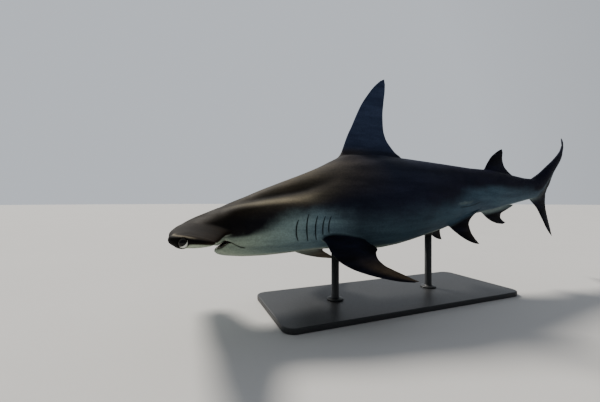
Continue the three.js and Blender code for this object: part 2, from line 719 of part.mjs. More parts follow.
function meshOf(name, made) {
  const { numProp, vertProperties, triVerts } = whole(made).getMesh();
  const geometry = new THREE.BufferGeometry();
  const points = new THREE.InterleavedBuffer(vertProperties, numProp);
  geometry.setAttribute("position", new THREE.InterleavedBufferAttribute(points, 3, 0));
  geometry.setIndex(new THREE.BufferAttribute(triVerts, 1));
  const mesh = new THREE.Mesh(geometry, finishOf(name));
  mesh.name = name;
  return mesh;
}

const shark = new THREE.Group();
for (const [name, made] of pieces()) shark.add(meshOf(name, made));

// Set the origin under the middle of the whole model, at floor level.
const bounds = new THREE.Box3().setFromObject(shark);
const middle = bounds.getCenter(new THREE.Vector3());
shark.position.set(-middle.x, -middle.y, -bounds.min.z);

export default shark;
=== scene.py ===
# A great hammerhead shark, life-size and still, on a plain display stand.
# Metres, +Z up. The nose points to -X and the shark's left side faces -Y.
import math

import bmesh
import bpy
import numpy as np
from mathutils import Matrix, Vector
from mathutils.bvhtree import BVHTree
from mathutils.kdtree import KDTree


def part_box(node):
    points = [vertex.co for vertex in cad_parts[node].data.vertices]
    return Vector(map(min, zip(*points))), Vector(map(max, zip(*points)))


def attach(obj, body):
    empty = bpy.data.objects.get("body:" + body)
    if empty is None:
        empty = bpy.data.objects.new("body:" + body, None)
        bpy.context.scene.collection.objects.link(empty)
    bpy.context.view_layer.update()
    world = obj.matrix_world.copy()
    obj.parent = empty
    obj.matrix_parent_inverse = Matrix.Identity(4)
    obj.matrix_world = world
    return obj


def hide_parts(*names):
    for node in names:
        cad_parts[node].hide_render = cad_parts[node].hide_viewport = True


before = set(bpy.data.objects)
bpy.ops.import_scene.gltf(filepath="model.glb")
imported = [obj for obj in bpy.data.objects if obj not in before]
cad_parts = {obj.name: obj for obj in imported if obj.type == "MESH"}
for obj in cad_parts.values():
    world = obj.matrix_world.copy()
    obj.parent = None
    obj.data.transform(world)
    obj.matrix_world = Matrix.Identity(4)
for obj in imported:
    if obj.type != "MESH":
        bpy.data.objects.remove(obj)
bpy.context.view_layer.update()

# The camera
# A wide lens close beside the head, level, about half a metre above the floor.
# Its place is told from the tip of the nose, as shares of the shark's length.
LENGTH = 3.5
TRUNK_PITCH = math.radians(4.8)
BASE_STATION = 0.36
NOSE_HEIGHT = 0.45
base_low, base_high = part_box("stand_base")
nose = Vector(
    (
        (base_low.x + base_high.x) / 2 - BASE_STATION * math.cos(TRUNK_PITCH) * LENGTH,
        (base_low.y + base_high.y) / 2,
        base_low.z + NOSE_HEIGHT,
    )
)
CAMERA_FROM_NOSE = Vector((0.0290, -0.4200, 0.0344))
CAMERA_HEADING = math.radians(21.5)
camera_data = bpy.data.cameras.new("camera")
camera_data.lens = 18
camera_data.sensor_width = 36
camera_data.clip_start = 0.02
camera_data.clip_end = 400
camera = bpy.data.objects.new("camera", camera_data)
camera.location = nose + CAMERA_FROM_NOSE * LENGTH
camera.rotation_euler = (math.radians(90), 0, -CAMERA_HEADING)
bpy.context.scene.collection.objects.link(camera)
bpy.context.scene.camera = camera

# The spine
# What the whole body is drawn along: straight and pitched through the trunk,
# then swinging to the right in the tail. The head rolls a little to the right.
TAIL_BEND_START = 0.7
TAIL_SWING = math.radians(40.2)
TAIL_DIP = math.radians(17.1)
HEAD_ROLL = math.radians(3.5)
ROLL_FADE = (0.12, 0.7)
SPINE_STEPS = 60


def read(table, at):
    """Values of a table at a station, along smooth curves that never overshoot."""
    last = len(table) - 1
    x = min(max(at, table[0][0]), table[last][0])
    i = 0
    while i < last - 1 and x > table[i + 1][0]:
        i += 1
    step = table[i + 1][0] - table[i][0]
    t = (x - table[i][0]) / step

    def slope(k, c):
        return (table[k + 1][c] - table[k][c]) / (table[k + 1][0] - table[k][0])

    def tangent(k, c):
        if k == 0:
            return slope(0, c)
        if k == last:
            return slope(last - 1, c)
        before, after = slope(k - 1, c), slope(k, c)
        if before * after <= 0:
            return 0
        ahead, behind = table[k + 1][0] - table[k][0], table[k][0] - table[k - 1][0]
        near, far = 2 * ahead + behind, ahead + 2 * behind
        return (near + far) / (near / before + far / after)

    values = []
    for c in range(1, len(table[0])):
        bend = (table[i + 1][c] - table[i][c]) * t * t * (3 - 2 * t)
        rise = t * (1 - t) * (1 - t) * tangent(i, c) * step
        fall = t * t * (t - 1) * tangent(i + 1, c) * step
        values.append(table[i][c] + bend + rise + fall)
    return values


spine = []
tail_point = Vector((0, 0, 0))
for k in range(SPINE_STEPS + 1):
    share = k / SPINE_STEPS
    turn, pitch = TAIL_SWING * share**1.5, TRUNK_PITCH - TAIL_DIP * share
    spine.append((tail_point.copy(), turn, pitch))
    heading = Vector((math.cos(turn), math.sin(turn), 0)) * math.cos(pitch)
    stride = (1 - TAIL_BEND_START) / SPINE_STEPS
    tail_point += (heading + Vector((0, 0, math.sin(pitch)))) * stride


def spine_frame(station):
    """The spine's point at a station, and its directions back, left and up."""
    run = min(station, TAIL_BEND_START)
    share = max(0, station - TAIL_BEND_START) / (1 - TAIL_BEND_START)
    k = min(int(share * SPINE_STEPS), SPINE_STEPS - 1)
    t = share * SPINE_STEPS - k
    point = spine[k][0].lerp(spine[k + 1][0], t)
    turn = spine[k][1] + (spine[k + 1][1] - spine[k][1]) * t
    pitch = spine[k][2] + (spine[k + 1][2] - spine[k][2]) * t
    point = point + Vector((math.cos(TRUNK_PITCH), 0, math.sin(TRUNK_PITCH))) * run
    back = Vector((math.cos(turn), math.sin(turn), 0)) * math.cos(pitch)
    back.z = math.sin(pitch)
    start, end = ROLL_FADE
    roll = HEAD_ROLL * min(max((end - station) / (end - start), 0), 1)
    left = Matrix.Rotation(-roll, 3, back) @ Vector((math.sin(turn), -math.cos(turn), 0))
    return nose + point * LENGTH, back, left, left.cross(back)


def place(station, side, height):
    """A point of the animal, from shares of its length."""
    point, _, left, up = spine_frame(station)
    return point + (left * side + up * height) * LENGTH


# The trunk
# Muscle under tight skin, round behind the head, deepest under the back fin,
# and running out into the stalk of the tail and on inside its upper lobe.
# [station, top, bottom, half width, level of the widest line]
TRUNK = [
    [0.02, -0.003, -0.013, 0.03, -0.008],
    [0.032, 0.0036, -0.0185, 0.054, -0.008],
    [0.0475, 0.0099, -0.0225, 0.0595, -0.0085],
    [0.0632, 0.0147, -0.0275, 0.0555, -0.009],
    [0.072, 0.0175, -0.0385, 0.0515, -0.0095],
    [0.0794, 0.0197, -0.045, 0.0485, -0.01],
    [0.09, 0.0236, -0.0484, 0.0467, -0.01],
    [0.1, 0.0268, -0.0503, 0.0462, -0.01],
    [0.1134, 0.0307, -0.052, 0.047, -0.01],
    [0.136, 0.0382, -0.054, 0.0505, -0.0095],
    [0.165, 0.0469, -0.055, 0.056, -0.0085],
    [0.206, 0.0588, -0.056, 0.062, -0.005],
    [0.235, 0.0682, -0.0585, 0.065, -0.001],
    [0.2613, 0.0785, -0.063, 0.0665, 0.001],
    [0.28, 0.0845, -0.066, 0.067, 0.002],
    [0.325, 0.083, -0.07, 0.0665, 0.003],
    [0.385, 0.0755, -0.0655, 0.062, 0.003],
    [0.4184, 0.0708, -0.061, 0.0565, 0.0035],
    [0.455, 0.0657, -0.056, 0.05, 0.004],
    [0.5, 0.0588, -0.046, 0.0415, 0.005],
    [0.55, 0.0514, -0.0365, 0.034, 0.006],
    [0.595, 0.0465, -0.0345, 0.0285, 0.005],
    [0.64, 0.0385, -0.03, 0.023, 0.0035],
    [0.68, 0.0297, -0.0262, 0.0178, 0.001],
    [0.712, 0.0233, -0.023, 0.0142, -0.0005],
    [0.735, 0.0215, -0.0215, 0.0122, -0.0005],
    [0.76, 0.029, -0.012, 0.01, 0.009],
    [0.79, 0.0465, 0.012, 0.008, 0.029],
    [0.83, 0.0695, 0.044, 0.0058, 0.057],
    [0.88, 0.1, 0.083, 0.0036, 0.0915],
    [0.905, 0.1165, 0.1145, 0.001, 0.1155],
]
# The hollow under the back's ridge, and the shoulder muscle that stands out
# below it: [station, depth of the hollow, rise of the muscle, turn between].
SHOULDER = [
    [0.075, 0, 0, 58],
    [0.095, 0.003, 0.0016, 52],
    [0.125, 0.0052, 0.0042, 40],
    [0.155, 0.0066, 0.0056, 32],
    [0.185, 0.0066, 0.0044, 27],
    [0.215, 0.004, 0.0012, 25],
    [0.26, 0.002, 0, 28],
    [0.29, 0, 0, 30],
]
HOLLOW_TURN, MUSCLE_TURN, SHOULDER_WIDTH = 17, 14, 13
FLANK_FULLNESS = 0.92


def new_piece(name, bm):
    """A finished shape as an object of its own, at the origin."""
    bm.normal_update()
    bmesh.ops.recalc_face_normals(bm, faces=bm.faces[:])
    mesh = bpy.data.meshes.new(name)
    bm.to_mesh(mesh)
    bm.free()
    mesh.shade_smooth()
    piece = bpy.data.objects.new(name, mesh)
    bpy.context.scene.collection.objects.link(piece)
    return piece


def wrap(bm, around, rows, at):
    """A sphere's grid whose every vertex is put where at(turn, along) says."""
    made = bmesh.ops.create_uvsphere(bm, u_segments=around, v_segments=rows, radius=1)
    for vertex in made["verts"]:
        along = math.acos(min(max(-vertex.co.z, -1), 1)) / math.pi
        turn = math.atan2(vertex.co.y, vertex.co.x)
        vertex.co = at(turn, along)
    return made["verts"]


def rounded(value, power):
    return math.copysign(abs(value) ** power, value)


def trunk_point(turn, station):
    top, bottom, half, level = read(TRUNK, station)
    across, upward = math.cos(turn), math.sin(turn)
    reach = top - level if upward > 0 else level - bottom
    height = level + reach * rounded(upward, FLANK_FULLNESS)
    side = half * rounded(across, FLANK_FULLNESS)
    hollow, muscle, between = read(SHOULDER, station)
    steep = math.degrees(math.atan2(upward, abs(across)))
    swell = muscle * math.exp(-(((steep - between + MUSCLE_TURN) / SHOULDER_WIDTH) ** 2))
    swell -= hollow * math.exp(-(((steep - between - HOLLOW_TURN) / SHOULDER_WIDTH) ** 2))
    return place(station, side + swell * across, height + swell * upward)


TRUNK_AROUND = 96
TRUNK_ROWS = 260


def trunk_at(turn, along):
    station = TRUNK[0][0] + (TRUNK[-1][0] - TRUNK[0][0]) * along**1.15
    if 0.0005 < along < 0.9995:
        return trunk_point(turn, station)
    return place(station, 0, read(TRUNK, station)[3])


trunk_shape = bmesh.new()
wrap(trunk_shape, TRUNK_AROUND, TRUNK_ROWS, trunk_at)
trunk_shape.normal_update()
bmesh.ops.recalc_face_normals(trunk_shape, faces=trunk_shape.faces[:])
trunk_surface = BVHTree.FromBMesh(trunk_shape)
skin = new_piece("skin", trunk_shape)

# The head's wing
# A flat blade of gristle across the nose, with an eye and a nostril in each
# end. Its front edge is notched in the middle and again at each nostril.
# [side, front edge, rear edge, thickness, front level, rear level, sharpness]
WING = [
    [0, 0.0162, 0.101, 0.027, -0.0078, -0.0125, 1.4],
    [0.02, 0.015, 0.1, 0.0268, -0.0078, -0.0125, 1.4],
    [0.04, 0.0146, 0.095, 0.0255, -0.008, -0.013, 1.35],
    [0.05, 0.0148, 0.0865, 0.0238, -0.0082, -0.0137, 1.25],
    [0.062, 0.0156, 0.0778, 0.0212, -0.0086, -0.0148, 1.15],
    [0.08, 0.0158, 0.0705, 0.018, -0.0092, -0.0166, 1],
    [0.096, 0.0172, 0.0645, 0.0154, -0.0099, -0.0182, 0.9],
    [0.104, 0.0178, 0.0618, 0.0141, -0.0102, -0.0188, 0.85],
    [0.112, 0.0163, 0.059, 0.0128, -0.0106, -0.0192, 0.85],
]
WING_ROUNDS_FROM = 0.112
WING_TIP = 0.1232
WING_NOSE_HEAVY = 0.26


def wing_at(turn, along):
    side = -WING_TIP * math.cos(math.pi * along)
    front, rear, thickness, front_level, rear_level, sharpness = read(WING, abs(side))
    past = max(0, abs(side) - WING_ROUNDS_FROM) / (WING_TIP - WING_ROUNDS_FROM)
    close = math.sqrt(max(0, 1 - past * past))
    fore = math.cos(turn)
    share = 0.5 - fore * close / 2
    bulge = rounded(math.sin(turn), sharpness) * (1 + WING_NOSE_HEAVY * fore) * close
    level = front_level + (rear_level - front_level) * share
    return place(front + (rear - front) * share, side, level + thickness / 2 * bulge)


def settle(piece, kind, **settings):
    """Adds one modifier and makes its result the piece's own mesh."""
    modifier = piece.modifiers.new(kind.lower(), kind)
    for key, value in settings.items():
        setattr(modifier, key, value)
    graph = bpy.context.evaluated_depsgraph_get()
    settled = bpy.data.meshes.new_from_object(piece.evaluated_get(graph))
    piece.modifiers.clear()
    piece.data = settled


def work(piece, other, operation):
    """Adds one closed shape to another, or takes it away."""
    settle(piece, "BOOLEAN", operation=operation, solver="MANIFOLD", object=other)
    bpy.data.objects.remove(other)


wing_shape = bmesh.new()
wrap(wing_shape, 72, 150, wing_at)
work(skin, new_piece("wing", wing_shape), "UNION")

# The eye mounds and lids
# Each eye looks out of the wing's end from a low mound of skin, inside a
# raised ring of lid, with a brow above it.
EYE_STATION, EYE_SIDE, EYE_HEIGHT, EYE_RADIUS = 0.0296, 0.1179, -0.0144, 0.0051
MOUND_PLACE, MOUND_SIZE = (0.0302, 0.1124, -0.0145), (0.0098, 0.0098, 0.0062)
LID_SIDE, LID_RADIUS, LID_THICKNESS, LID_OPENING = 0.1198, 0.0049, 0.0011, 0.0044


def set_at(bm, verts, at, lean=0):
    """Moves a shape made round the origin to a place on the animal."""
    _, back, left, up = spine_frame(at[0])
    turn = Matrix((back, -left, up)).transposed().to_4x4() @ Matrix.Rotation(lean, 4, "Y")
    turn.translation = place(*at)
    bmesh.ops.transform(bm, matrix=turn, verts=verts)


def ellipsoid(bm, size, at, around=32, rows=20, lean=0):
    made = bmesh.ops.create_uvsphere(bm, u_segments=around, v_segments=rows, radius=LENGTH)
    bmesh.ops.scale(bm, vec=size, verts=made["verts"])
    set_at(bm, made["verts"], at, lean)


def hoop(bm, radius, thickness, at, around=48, inside=12):
    """A ring that faces sideways, out of the head."""
    made = bmesh.ops.create_grid(bm, x_segments=around, y_segments=inside, size=1)
    for vertex in made["verts"]:
        turn, curl = math.pi * vertex.co.x, math.pi * vertex.co.y
        reach = radius + thickness * math.cos(curl)
        vertex.co = (reach * math.cos(turn), thickness * math.sin(curl), reach * math.sin(turn))
        vertex.co *= LENGTH
    set_at(bm, made["verts"], at)
    bmesh.ops.remove_doubles(bm, verts=made["verts"], dist=1e-6)


for sign in (1, -1):
    mound = bmesh.new()
    ellipsoid(mound, MOUND_SIZE, (MOUND_PLACE[0], sign * MOUND_PLACE[1], MOUND_PLACE[2]))
    work(skin, new_piece("mound", mound), "UNION")
    lid = bmesh.new()
    hoop(lid, LID_RADIUS, LID_THICKNESS, (EYE_STATION, sign * LID_SIDE, EYE_HEIGHT))
    work(skin, new_piece("lid", lid), "UNION")

# The mouth
# A curved slot under the head. Seen from the side both lips arch up from the
# front of the mouth and fall again to its corner. The lower jaw is a rounded
# scoop slung under it, hanging a little open.
MOUTH_ROOF = [
    [0.046, -0.0238],
    [0.058, -0.0282],
    [0.0678, -0.0312],
    [0.0728, -0.0284],
    [0.0783, -0.0244],
    [0.084, -0.0262],
    [0.0947, -0.0334],
    [0.105, -0.0372],
]
JAW_RIM = [
    [0.058, -0.0428],
    [0.0675, -0.0369],
    [0.0751, -0.0338],
    [0.0838, -0.0281],
    [0.089, -0.0308],
    [0.0947, -0.0343],
    [0.1, -0.0364],
]
# [station, top, bottom, half width, level of the widest line]
JAW = [
    [0.0665, -0.0375, -0.0395, 0.003, -0.0385],
    [0.0685, -0.034, -0.0418, 0.0125, -0.0385],
    [0.073, -0.028, -0.0442, 0.0205, -0.0365],
    [0.08, -0.022, -0.0464, 0.029, -0.0305],
    [0.09, -0.014, -0.0484, 0.0395, -0.02],
    [0.1, -0.01, -0.0503, 0.0458, -0.0115],
    [0.112, -0.01, -0.0519, 0.0469, -0.01],
]
SCOOP_PLACE, SCOOP_SIZE, SCOOP_LEAN = (0.0872, 0, -0.0318), (0.0145, 0.022, 0.0072), 20
HEAD_HALF = 0.11
# The head's underside climbs away from the mouth on either side, up to here.
CHEEK_CLIMB, CHEEK_ENDS = 0.32, (0.076, 0.09)


def jaw_at(turn, along):
    station = JAW[0][0] + (JAW[-1][0] - JAW[0][0]) * along**1.3
    top, bottom, half, level = read(JAW, station)
    if not 0.001 < along < 0.999:
        return place(station, 0, level)
    upward = math.sin(turn)
    reach = top - level if upward > 0 else level - bottom
    height = level + reach * rounded(upward, FLANK_FULLNESS)
    return place(station, half * rounded(math.cos(turn), FLANK_FULLNESS), height)


def climb(station, side):
    """How much higher the head's underside is beside the mouth."""
    start, end = CHEEK_ENDS
    fade = min(max((end - station) / (end - start), 0), 1)
    beside = abs(side) - read(JAW, station)[2] - 0.002
    return CHEEK_CLIMB * min(max(beside, 0), 0.03) * fade * fade * (3 - 2 * fade)


def through(name, line, far, lift=None):
    """A block across the head between a side-view line and a far level."""
    bm = bmesh.new()
    made = bmesh.ops.create_grid(bm, x_segments=60, y_segments=48, size=1)
    for vertex in made["verts"]:
        station = line[0][0] + (line[-1][0] - line[0][0]) * (vertex.co.x + 1) / 2
        side = vertex.co.y * HEAD_HALF
        vertex.co = (station, side, read(line, station)[0] + (lift(station, side) if lift else 0))
    walls = bmesh.ops.extrude_face_region(bm, geom=bm.faces[:], use_keep_orig=True)
    for item in walls["geom"]:
        if isinstance(item, bmesh.types.BMVert):
            item.co.z = far
    for vertex in bm.verts:
        vertex.co = place(*vertex.co)
    return new_piece(name, bm)


work(skin, through("bay", MOUTH_ROOF, -0.09, climb), "DIFFERENCE")
jaw_shape = bmesh.new()
wrap(jaw_shape, 72, 60, jaw_at)
jaw = new_piece("jaw", jaw_shape)
work(jaw, through("gape", JAW_RIM, 0.05), "DIFFERENCE")
scoop = bmesh.new()
ellipsoid(scoop, SCOOP_SIZE, SCOOP_PLACE, lean=math.radians(SCOOP_LEAN))
work(jaw, new_piece("scoop", scoop), "DIFFERENCE")
work(skin, jaw, "UNION")

# The nostrils and eye openings
# A nostril is a slot in the front edge just inside each eye, and a groove
# runs from it towards the middle. The eye shows through a round opening.
NOSTRIL_PLACE, NOSTRIL_SIZE = (0.0178, 0.1035, -0.0117), (0.004, 0.0062, 0.0019)
GROOVE_PLACE, GROOVE_SIZE = (0.0158, 0.088, -0.0112), (0.0019, 0.013, 0.0011)
SOCKET_SHARE = 0.97

for sign in (1, -1):
    socket = bmesh.new()
    socket_size = (EYE_RADIUS * SOCKET_SHARE,) * 3
    ellipsoid(socket, socket_size, (EYE_STATION, sign * EYE_SIDE, EYE_HEIGHT))
    work(skin, new_piece("socket", socket), "DIFFERENCE")
    opening = bmesh.new()
    bore = bmesh.ops.create_cone(
        opening,
        cap_ends=True,
        segments=48,
        radius1=LID_OPENING * LENGTH,
        radius2=LID_OPENING * LENGTH,
        depth=2 * EYE_RADIUS * LENGTH,
    )["verts"]
    bmesh.ops.rotate(opening, verts=bore, cent=(0, 0, 0), matrix=Matrix.Rotation(math.pi / 2, 3, "X"))
    set_at(opening, bore, (EYE_STATION, sign * (EYE_SIDE + EYE_RADIUS), EYE_HEIGHT))
    work(skin, new_piece("opening", opening), "DIFFERENCE")
    for size, (station, side, height) in (
        (NOSTRIL_SIZE, NOSTRIL_PLACE),
        (GROOVE_SIZE, GROOVE_PLACE),
    ):
        slot = bmesh.new()
        ellipsoid(slot, size, (station, sign * side, height))
        work(skin, new_piece("slot", slot), "DIFFERENCE")

# The fused skin
# The cut shapes become one skin of even small faces, which is then rubbed
# down: hard in the hollows where the wing meets the neck, lightly elsewhere.
FLESH_GRAIN = 0.003
MOUTH_STRETCH, MOUTH_CEILING, MOUTH_SIDE = (0.052, 0.06, 0.105, 0.115), (-0.022, -0.018), (0.05, 0.056)
NECK_STRETCH, NECK_SIDE = (0.035, 0.055, 0.115, 0.14), (0.034, 0.042, 0.075, 0.09)
settle(skin, "REMESH", mode="VOXEL", voxel_size=FLESH_GRAIN)
settle(skin, "SMOOTH", factor=0.5, iterations=4)


def spine_stations(points):
    """For many points at once: station, side and height on the animal."""
    stations = np.linspace(0, 1, 1001)
    frames = [spine_frame(s) for s in stations]
    centres = np.array([f[0] for f in frames])
    backs = np.array([f[1] for f in frames])
    lefts = np.array([f[2] for f in frames])
    ups = np.array([f[3] for f in frames])
    best = np.clip(((points - centres[0]) @ backs[0]) / LENGTH, 0, 0.999)
    for _ in range(12):
        k = np.clip((best * 1000).astype(int), 0, 1000)
        ahead = np.einsum("ij,ij->i", points - centres[k], backs[k]) / LENGTH
        best = np.clip(stations[k] + ahead, 0, 1)
    k = np.clip((best * 1000).round().astype(int), 0, 1000)
    away = points - centres[k]
    side = np.einsum("ij,ij->i", away, lefts[k]) / LENGTH
    height = np.einsum("ij,ij->i", away, ups[k]) / LENGTH
    return best, side, height


def points_of(piece):
    flat = np.empty(len(piece.data.vertices) * 3)
    piece.data.vertices.foreach_get("co", flat)
    return flat.reshape(-1, 3)


def weigh(piece, name, weights):
    """A vertex group from one number for each vertex, in twenty steps."""
    group = piece.vertex_groups.new(name=name)
    steps = np.rint(np.clip(weights, 0, 1) * 20).astype(int)
    for level in range(1, 21):
        chosen = np.flatnonzero(steps == level)
        if len(chosen):
            group.add(chosen.tolist(), level / 20, "REPLACE")


def smoothly(low, high, values):
    t = np.clip((values - low) / (high - low), 0, 1)
    return t * t * (3 - 2 * t)


def fading(low, high, values):
    return 1 - smoothly(low, high, values)


def over(values, rises_from, is_full, falls_from, is_gone):
    """One along a stretch, fading to nothing over both of its ends."""
    return smoothly(rises_from, is_full, values) * fading(falls_from, is_gone, values)


s, l, h = spine_stations(points_of(skin))
mouth_side = over(s, *MOUTH_STRETCH) * fading(*MOUTH_CEILING, h) * fading(*MOUTH_SIDE, abs(l))
neck = over(s, *NECK_STRETCH) * over(abs(l), *NECK_SIDE) * (1 - mouth_side)
weigh(skin, "neck", neck)
settle(skin, "SMOOTH", factor=0.5, iterations=80, vertex_group="neck")

# The gill slits
# Five slits in each flank ahead of the breast fin. Each is covered by a thin
# flap of skin that is rooted ahead of it and stands a little proud. They are
# cut last, as is the crease at the corner of the mouth, so they stay crisp.
# [station, top, bottom]
GILLS = [
    [0.1672, -0.0075, -0.0358],
    [0.1812, -0.0015, -0.0378],
    [0.1932, -0.0045, -0.0378],
    [0.2034, -0.0065, -0.0374],
    [0.2118, -0.0072, -0.034],
]
GILL_DEPTH, GILL_WIDTH, GILL_BOW, GILL_OUT, GILL_SLANT = 0.005, 0.0017, 0.0035, 0.004, 0.0022
GILL_TAPER = 0.5
FLAP_LENGTH, FLAP_RISE, FLAP_CURVE, FLAP_ENDS = 0.0095, 0.0011, 1.6, 1.9
CREASE = (0.0836, 0.1005)
CREASE_WIDTH, CREASE_DEPTH = 0.0009, 0.005
OFF_MIDDLE = 0.03


def flank_half(station, height):
    """How far out the trunk's side is at a station and height."""
    top, bottom, half, level = read(TRUNK, station)
    reach = top - level if height > level else level - bottom
    upward = min(1, abs(height - level) / reach) ** (1 / FLANK_FULLNESS)
    return half * math.sqrt(1 - upward * upward) ** FLANK_FULLNESS


def crease_height(station):
    """The level half way between the lips."""
    return (read(MOUTH_ROOF, station)[0] + read(JAW_RIM, station)[0]) / 2


def slot(bm, at):
    """A thin block whose every vertex is put where at(x, y, z) says."""
    block = bmesh.new()
    bmesh.ops.create_cube(block, size=1)
    upright = [e for e in block.edges if abs(e.verts[0].co.y - e.verts[1].co.y) > 0.5]
    bmesh.ops.subdivide_edges(block, edges=upright, cuts=15, use_grid_fill=True)
    for vertex in block.verts:
        vertex.co = at(*vertex.co)
    mesh = bpy.data.meshes.new("slot")
    block.to_mesh(mesh)
    block.free()
    bm.from_mesh(mesh)
    bpy.data.meshes.remove(mesh)


def lift_flaps(piece):
    """Raises the skin ahead of each slit, most at the slit's own edge."""
    points = points_of(piece)
    s, l, h = spine_stations(points)
    puff = np.zeros(len(points))
    for station, top, bottom in GILLS:
        y = (h - (top + bottom) / 2) / (top - bottom)
        behind = s - station - GILL_BOW * (4 * y * y - 0.5) + GILL_WIDTH / 2
        ramp = np.clip(1 + behind / FLAP_LENGTH, 0, 1) ** FLAP_CURVE * (behind < 0)
        puff = np.maximum(puff, ramp * np.clip(1 - (FLAP_ENDS * abs(y)) ** 4, 0, 1))
    puff = puff * (abs(l) > OFF_MIDDLE)
    lefts = np.array(spine_frame(GILLS[2][0])[2])
    points += (puff * np.sign(l))[:, None] * lefts * FLAP_RISE * LENGTH
    piece.data.vertices.foreach_set("co", points.ravel())


lift_flaps(skin)
slits = bmesh.new()
for sign in (1, -1):
    for station, top, bottom in GILLS:

        def slit_at(x, y, z):
            height = (top + bottom) / 2 + y * (top - bottom)
            bowed = GILL_BOW * (4 * y * y - 0.5)
            narrow = 1 - GILL_TAPER * (2 * abs(y)) ** 3
            along = station + bowed + x * GILL_WIDTH * narrow + (0.5 - z) * GILL_SLANT
            out = GILL_OUT if z > 0 else -GILL_DEPTH * (1 - GILL_TAPER * (2 * abs(y)) ** 4)
            return place(along, sign * (flank_half(along, height) + out), height)

        slot(slits, slit_at)

    def crease_at(x, y, z):
        station = CREASE[0] + (CREASE[1] - CREASE[0]) * (y + 0.5)
        height = crease_height(station) + x * CREASE_WIDTH * (1.1 - y)
        out = GILL_OUT if z > 0 else -CREASE_DEPTH * (0.55 - y)
        return place(station, sign * (flank_half(station, height) + out), height)

    slot(slits, crease_at)
work(skin, new_piece("slits", slits), "DIFFERENCE")

# The fins
# Stiff thin blades of gristle fibres under skin, blunt in front and fine
# behind, each with a free rear tip. Their roots flare into the body.
# A fin is a list of chords [leading station, height, trailing station,
# height, thickness] from its root to its tip, then the tip itself.
FIRST_DORSAL = [
    [0.256, 0.06, 0.352, 0.058, 0.0155],
    [0.2685, 0.0775, 0.377, 0.0705, 0.014],
    [0.2745, 0.0865, 0.393, 0.0762, 0.0118],
    [0.2825, 0.103, 0.3815, 0.0855, 0.0102],
    [0.2905, 0.1185, 0.3712, 0.098, 0.0092],
    [0.2985, 0.1309, 0.3638, 0.1105, 0.0084],
    [0.3085, 0.1478, 0.3606, 0.1275, 0.0074],
    [0.322, 0.169, 0.3618, 0.149, 0.0062],
    [0.3355, 0.185, 0.3662, 0.172, 0.005],
    [0.35, 0.1998, 0.371, 0.192, 0.0038],
    [0.363, 0.2098, 0.3728, 0.2045, 0.0026],
    [0.3722, 0.2137],
]
SECOND_DORSAL = [
    [0.582, 0.034, 0.64, 0.026, 0.008],
    [0.5935, 0.0462, 0.656, 0.032, 0.0068],
    [0.5985, 0.0535, 0.6785, 0.0288, 0.0052],
    [0.605, 0.0612, 0.664, 0.039, 0.0045],
    [0.6165, 0.0722, 0.6515, 0.0525, 0.004],
    [0.6325, 0.0812, 0.648, 0.0665, 0.003],
    [0.643, 0.0856, 0.6505, 0.0795, 0.002],
    [0.6492, 0.0868],
]
ANAL = [
    [0.568, -0.026, 0.63, -0.02, 0.008],
    [0.58, -0.038, 0.65, -0.0275, 0.0066],
    [0.585, -0.043, 0.675, -0.03, 0.0048],
    [0.59, -0.0475, 0.652, -0.038, 0.0045],
    [0.604, -0.0565, 0.634, -0.044, 0.004],
    [0.622, -0.0635, 0.631, -0.0515, 0.0032],
    [0.637, -0.0662, 0.6385, -0.06, 0.0022],
    [0.646, -0.0642],
]
UPPER_TAIL = [
    [0.728, 0.012, 0.742, -0.02, 0.013],
    [0.742, 0.0215, 0.776, -0.026, 0.011],
    [0.758, 0.0295, 0.7885, -0.012, 0.008],
    [0.775, 0.0385, 0.796, -0.001, 0.0068],
    [0.8, 0.053, 0.806, 0.009, 0.006],
    [0.83, 0.069, 0.824, 0.034, 0.0052],
    [0.862, 0.0875, 0.852, 0.062, 0.0045],
    [0.895, 0.1095, 0.888, 0.091, 0.0038],
    [0.92, 0.13, 0.917, 0.116, 0.0034],
    [0.933, 0.1395, 0.9265, 0.124, 0.003],
    [0.945, 0.149, 0.948, 0.133, 0.0024],
    [0.951, 0.153, 0.953, 0.147, 0.0016],
    [0.9545, 0.1535],
]
LOWER_TAIL = [
    [0.7285, -0.006, 0.788, 0.004, 0.0105],
    [0.731, -0.0235, 0.7885, -0.0125, 0.0085],
    [0.74, -0.032, 0.787, -0.03, 0.0065],
    [0.754, -0.0435, 0.7895, -0.043, 0.0055],
    [0.77, -0.062, 0.796, -0.059, 0.0045],
    [0.782, -0.075, 0.803, -0.072, 0.0036],
    [0.793, -0.087, 0.811, -0.085, 0.003],
    [0.809, -0.099, 0.818, -0.0965, 0.0022],
    [0.8262, -0.1085],
]
# Paired fins leave the body along a root line and fall away at a droop, so
# their second and fourth numbers are reach outwards.
PECTORAL = [
    [0.205, -0.014, 0.268, -0.012, 0.015],
    [0.2045, 0.006, 0.276, 0, 0.013],
    [0.202, 0.024, 0.282, 0.01, 0.0105],
    [0.204, 0.04, 0.272, 0.023, 0.009],
    [0.2135, 0.053, 0.2675, 0.036, 0.0075],
    [0.229, 0.062, 0.27, 0.046, 0.006],
    [0.252, 0.0695, 0.2785, 0.054, 0.0046],
    [0.277, 0.074, 0.291, 0.063, 0.0032],
    [0.296, 0.0748, 0.3, 0.07, 0.002],
    [0.306, 0.0728],
]
PELVIC = [
    [0.448, -0.012, 0.511, -0.016, 0.0085],
    [0.455, 0, 0.518, -0.004, 0.0075],
    [0.461, 0.009, 0.558, -0.009, 0.0055],
    [0.468, 0.018, 0.522, 0, 0.0045],
    [0.481, 0.032, 0.504, 0.014, 0.0038],
    [0.495, 0.043, 0.503, 0.027, 0.003],
    [0.505, 0.0485, 0.507, 0.04, 0.0022],
    [0.513, 0.0512],
]
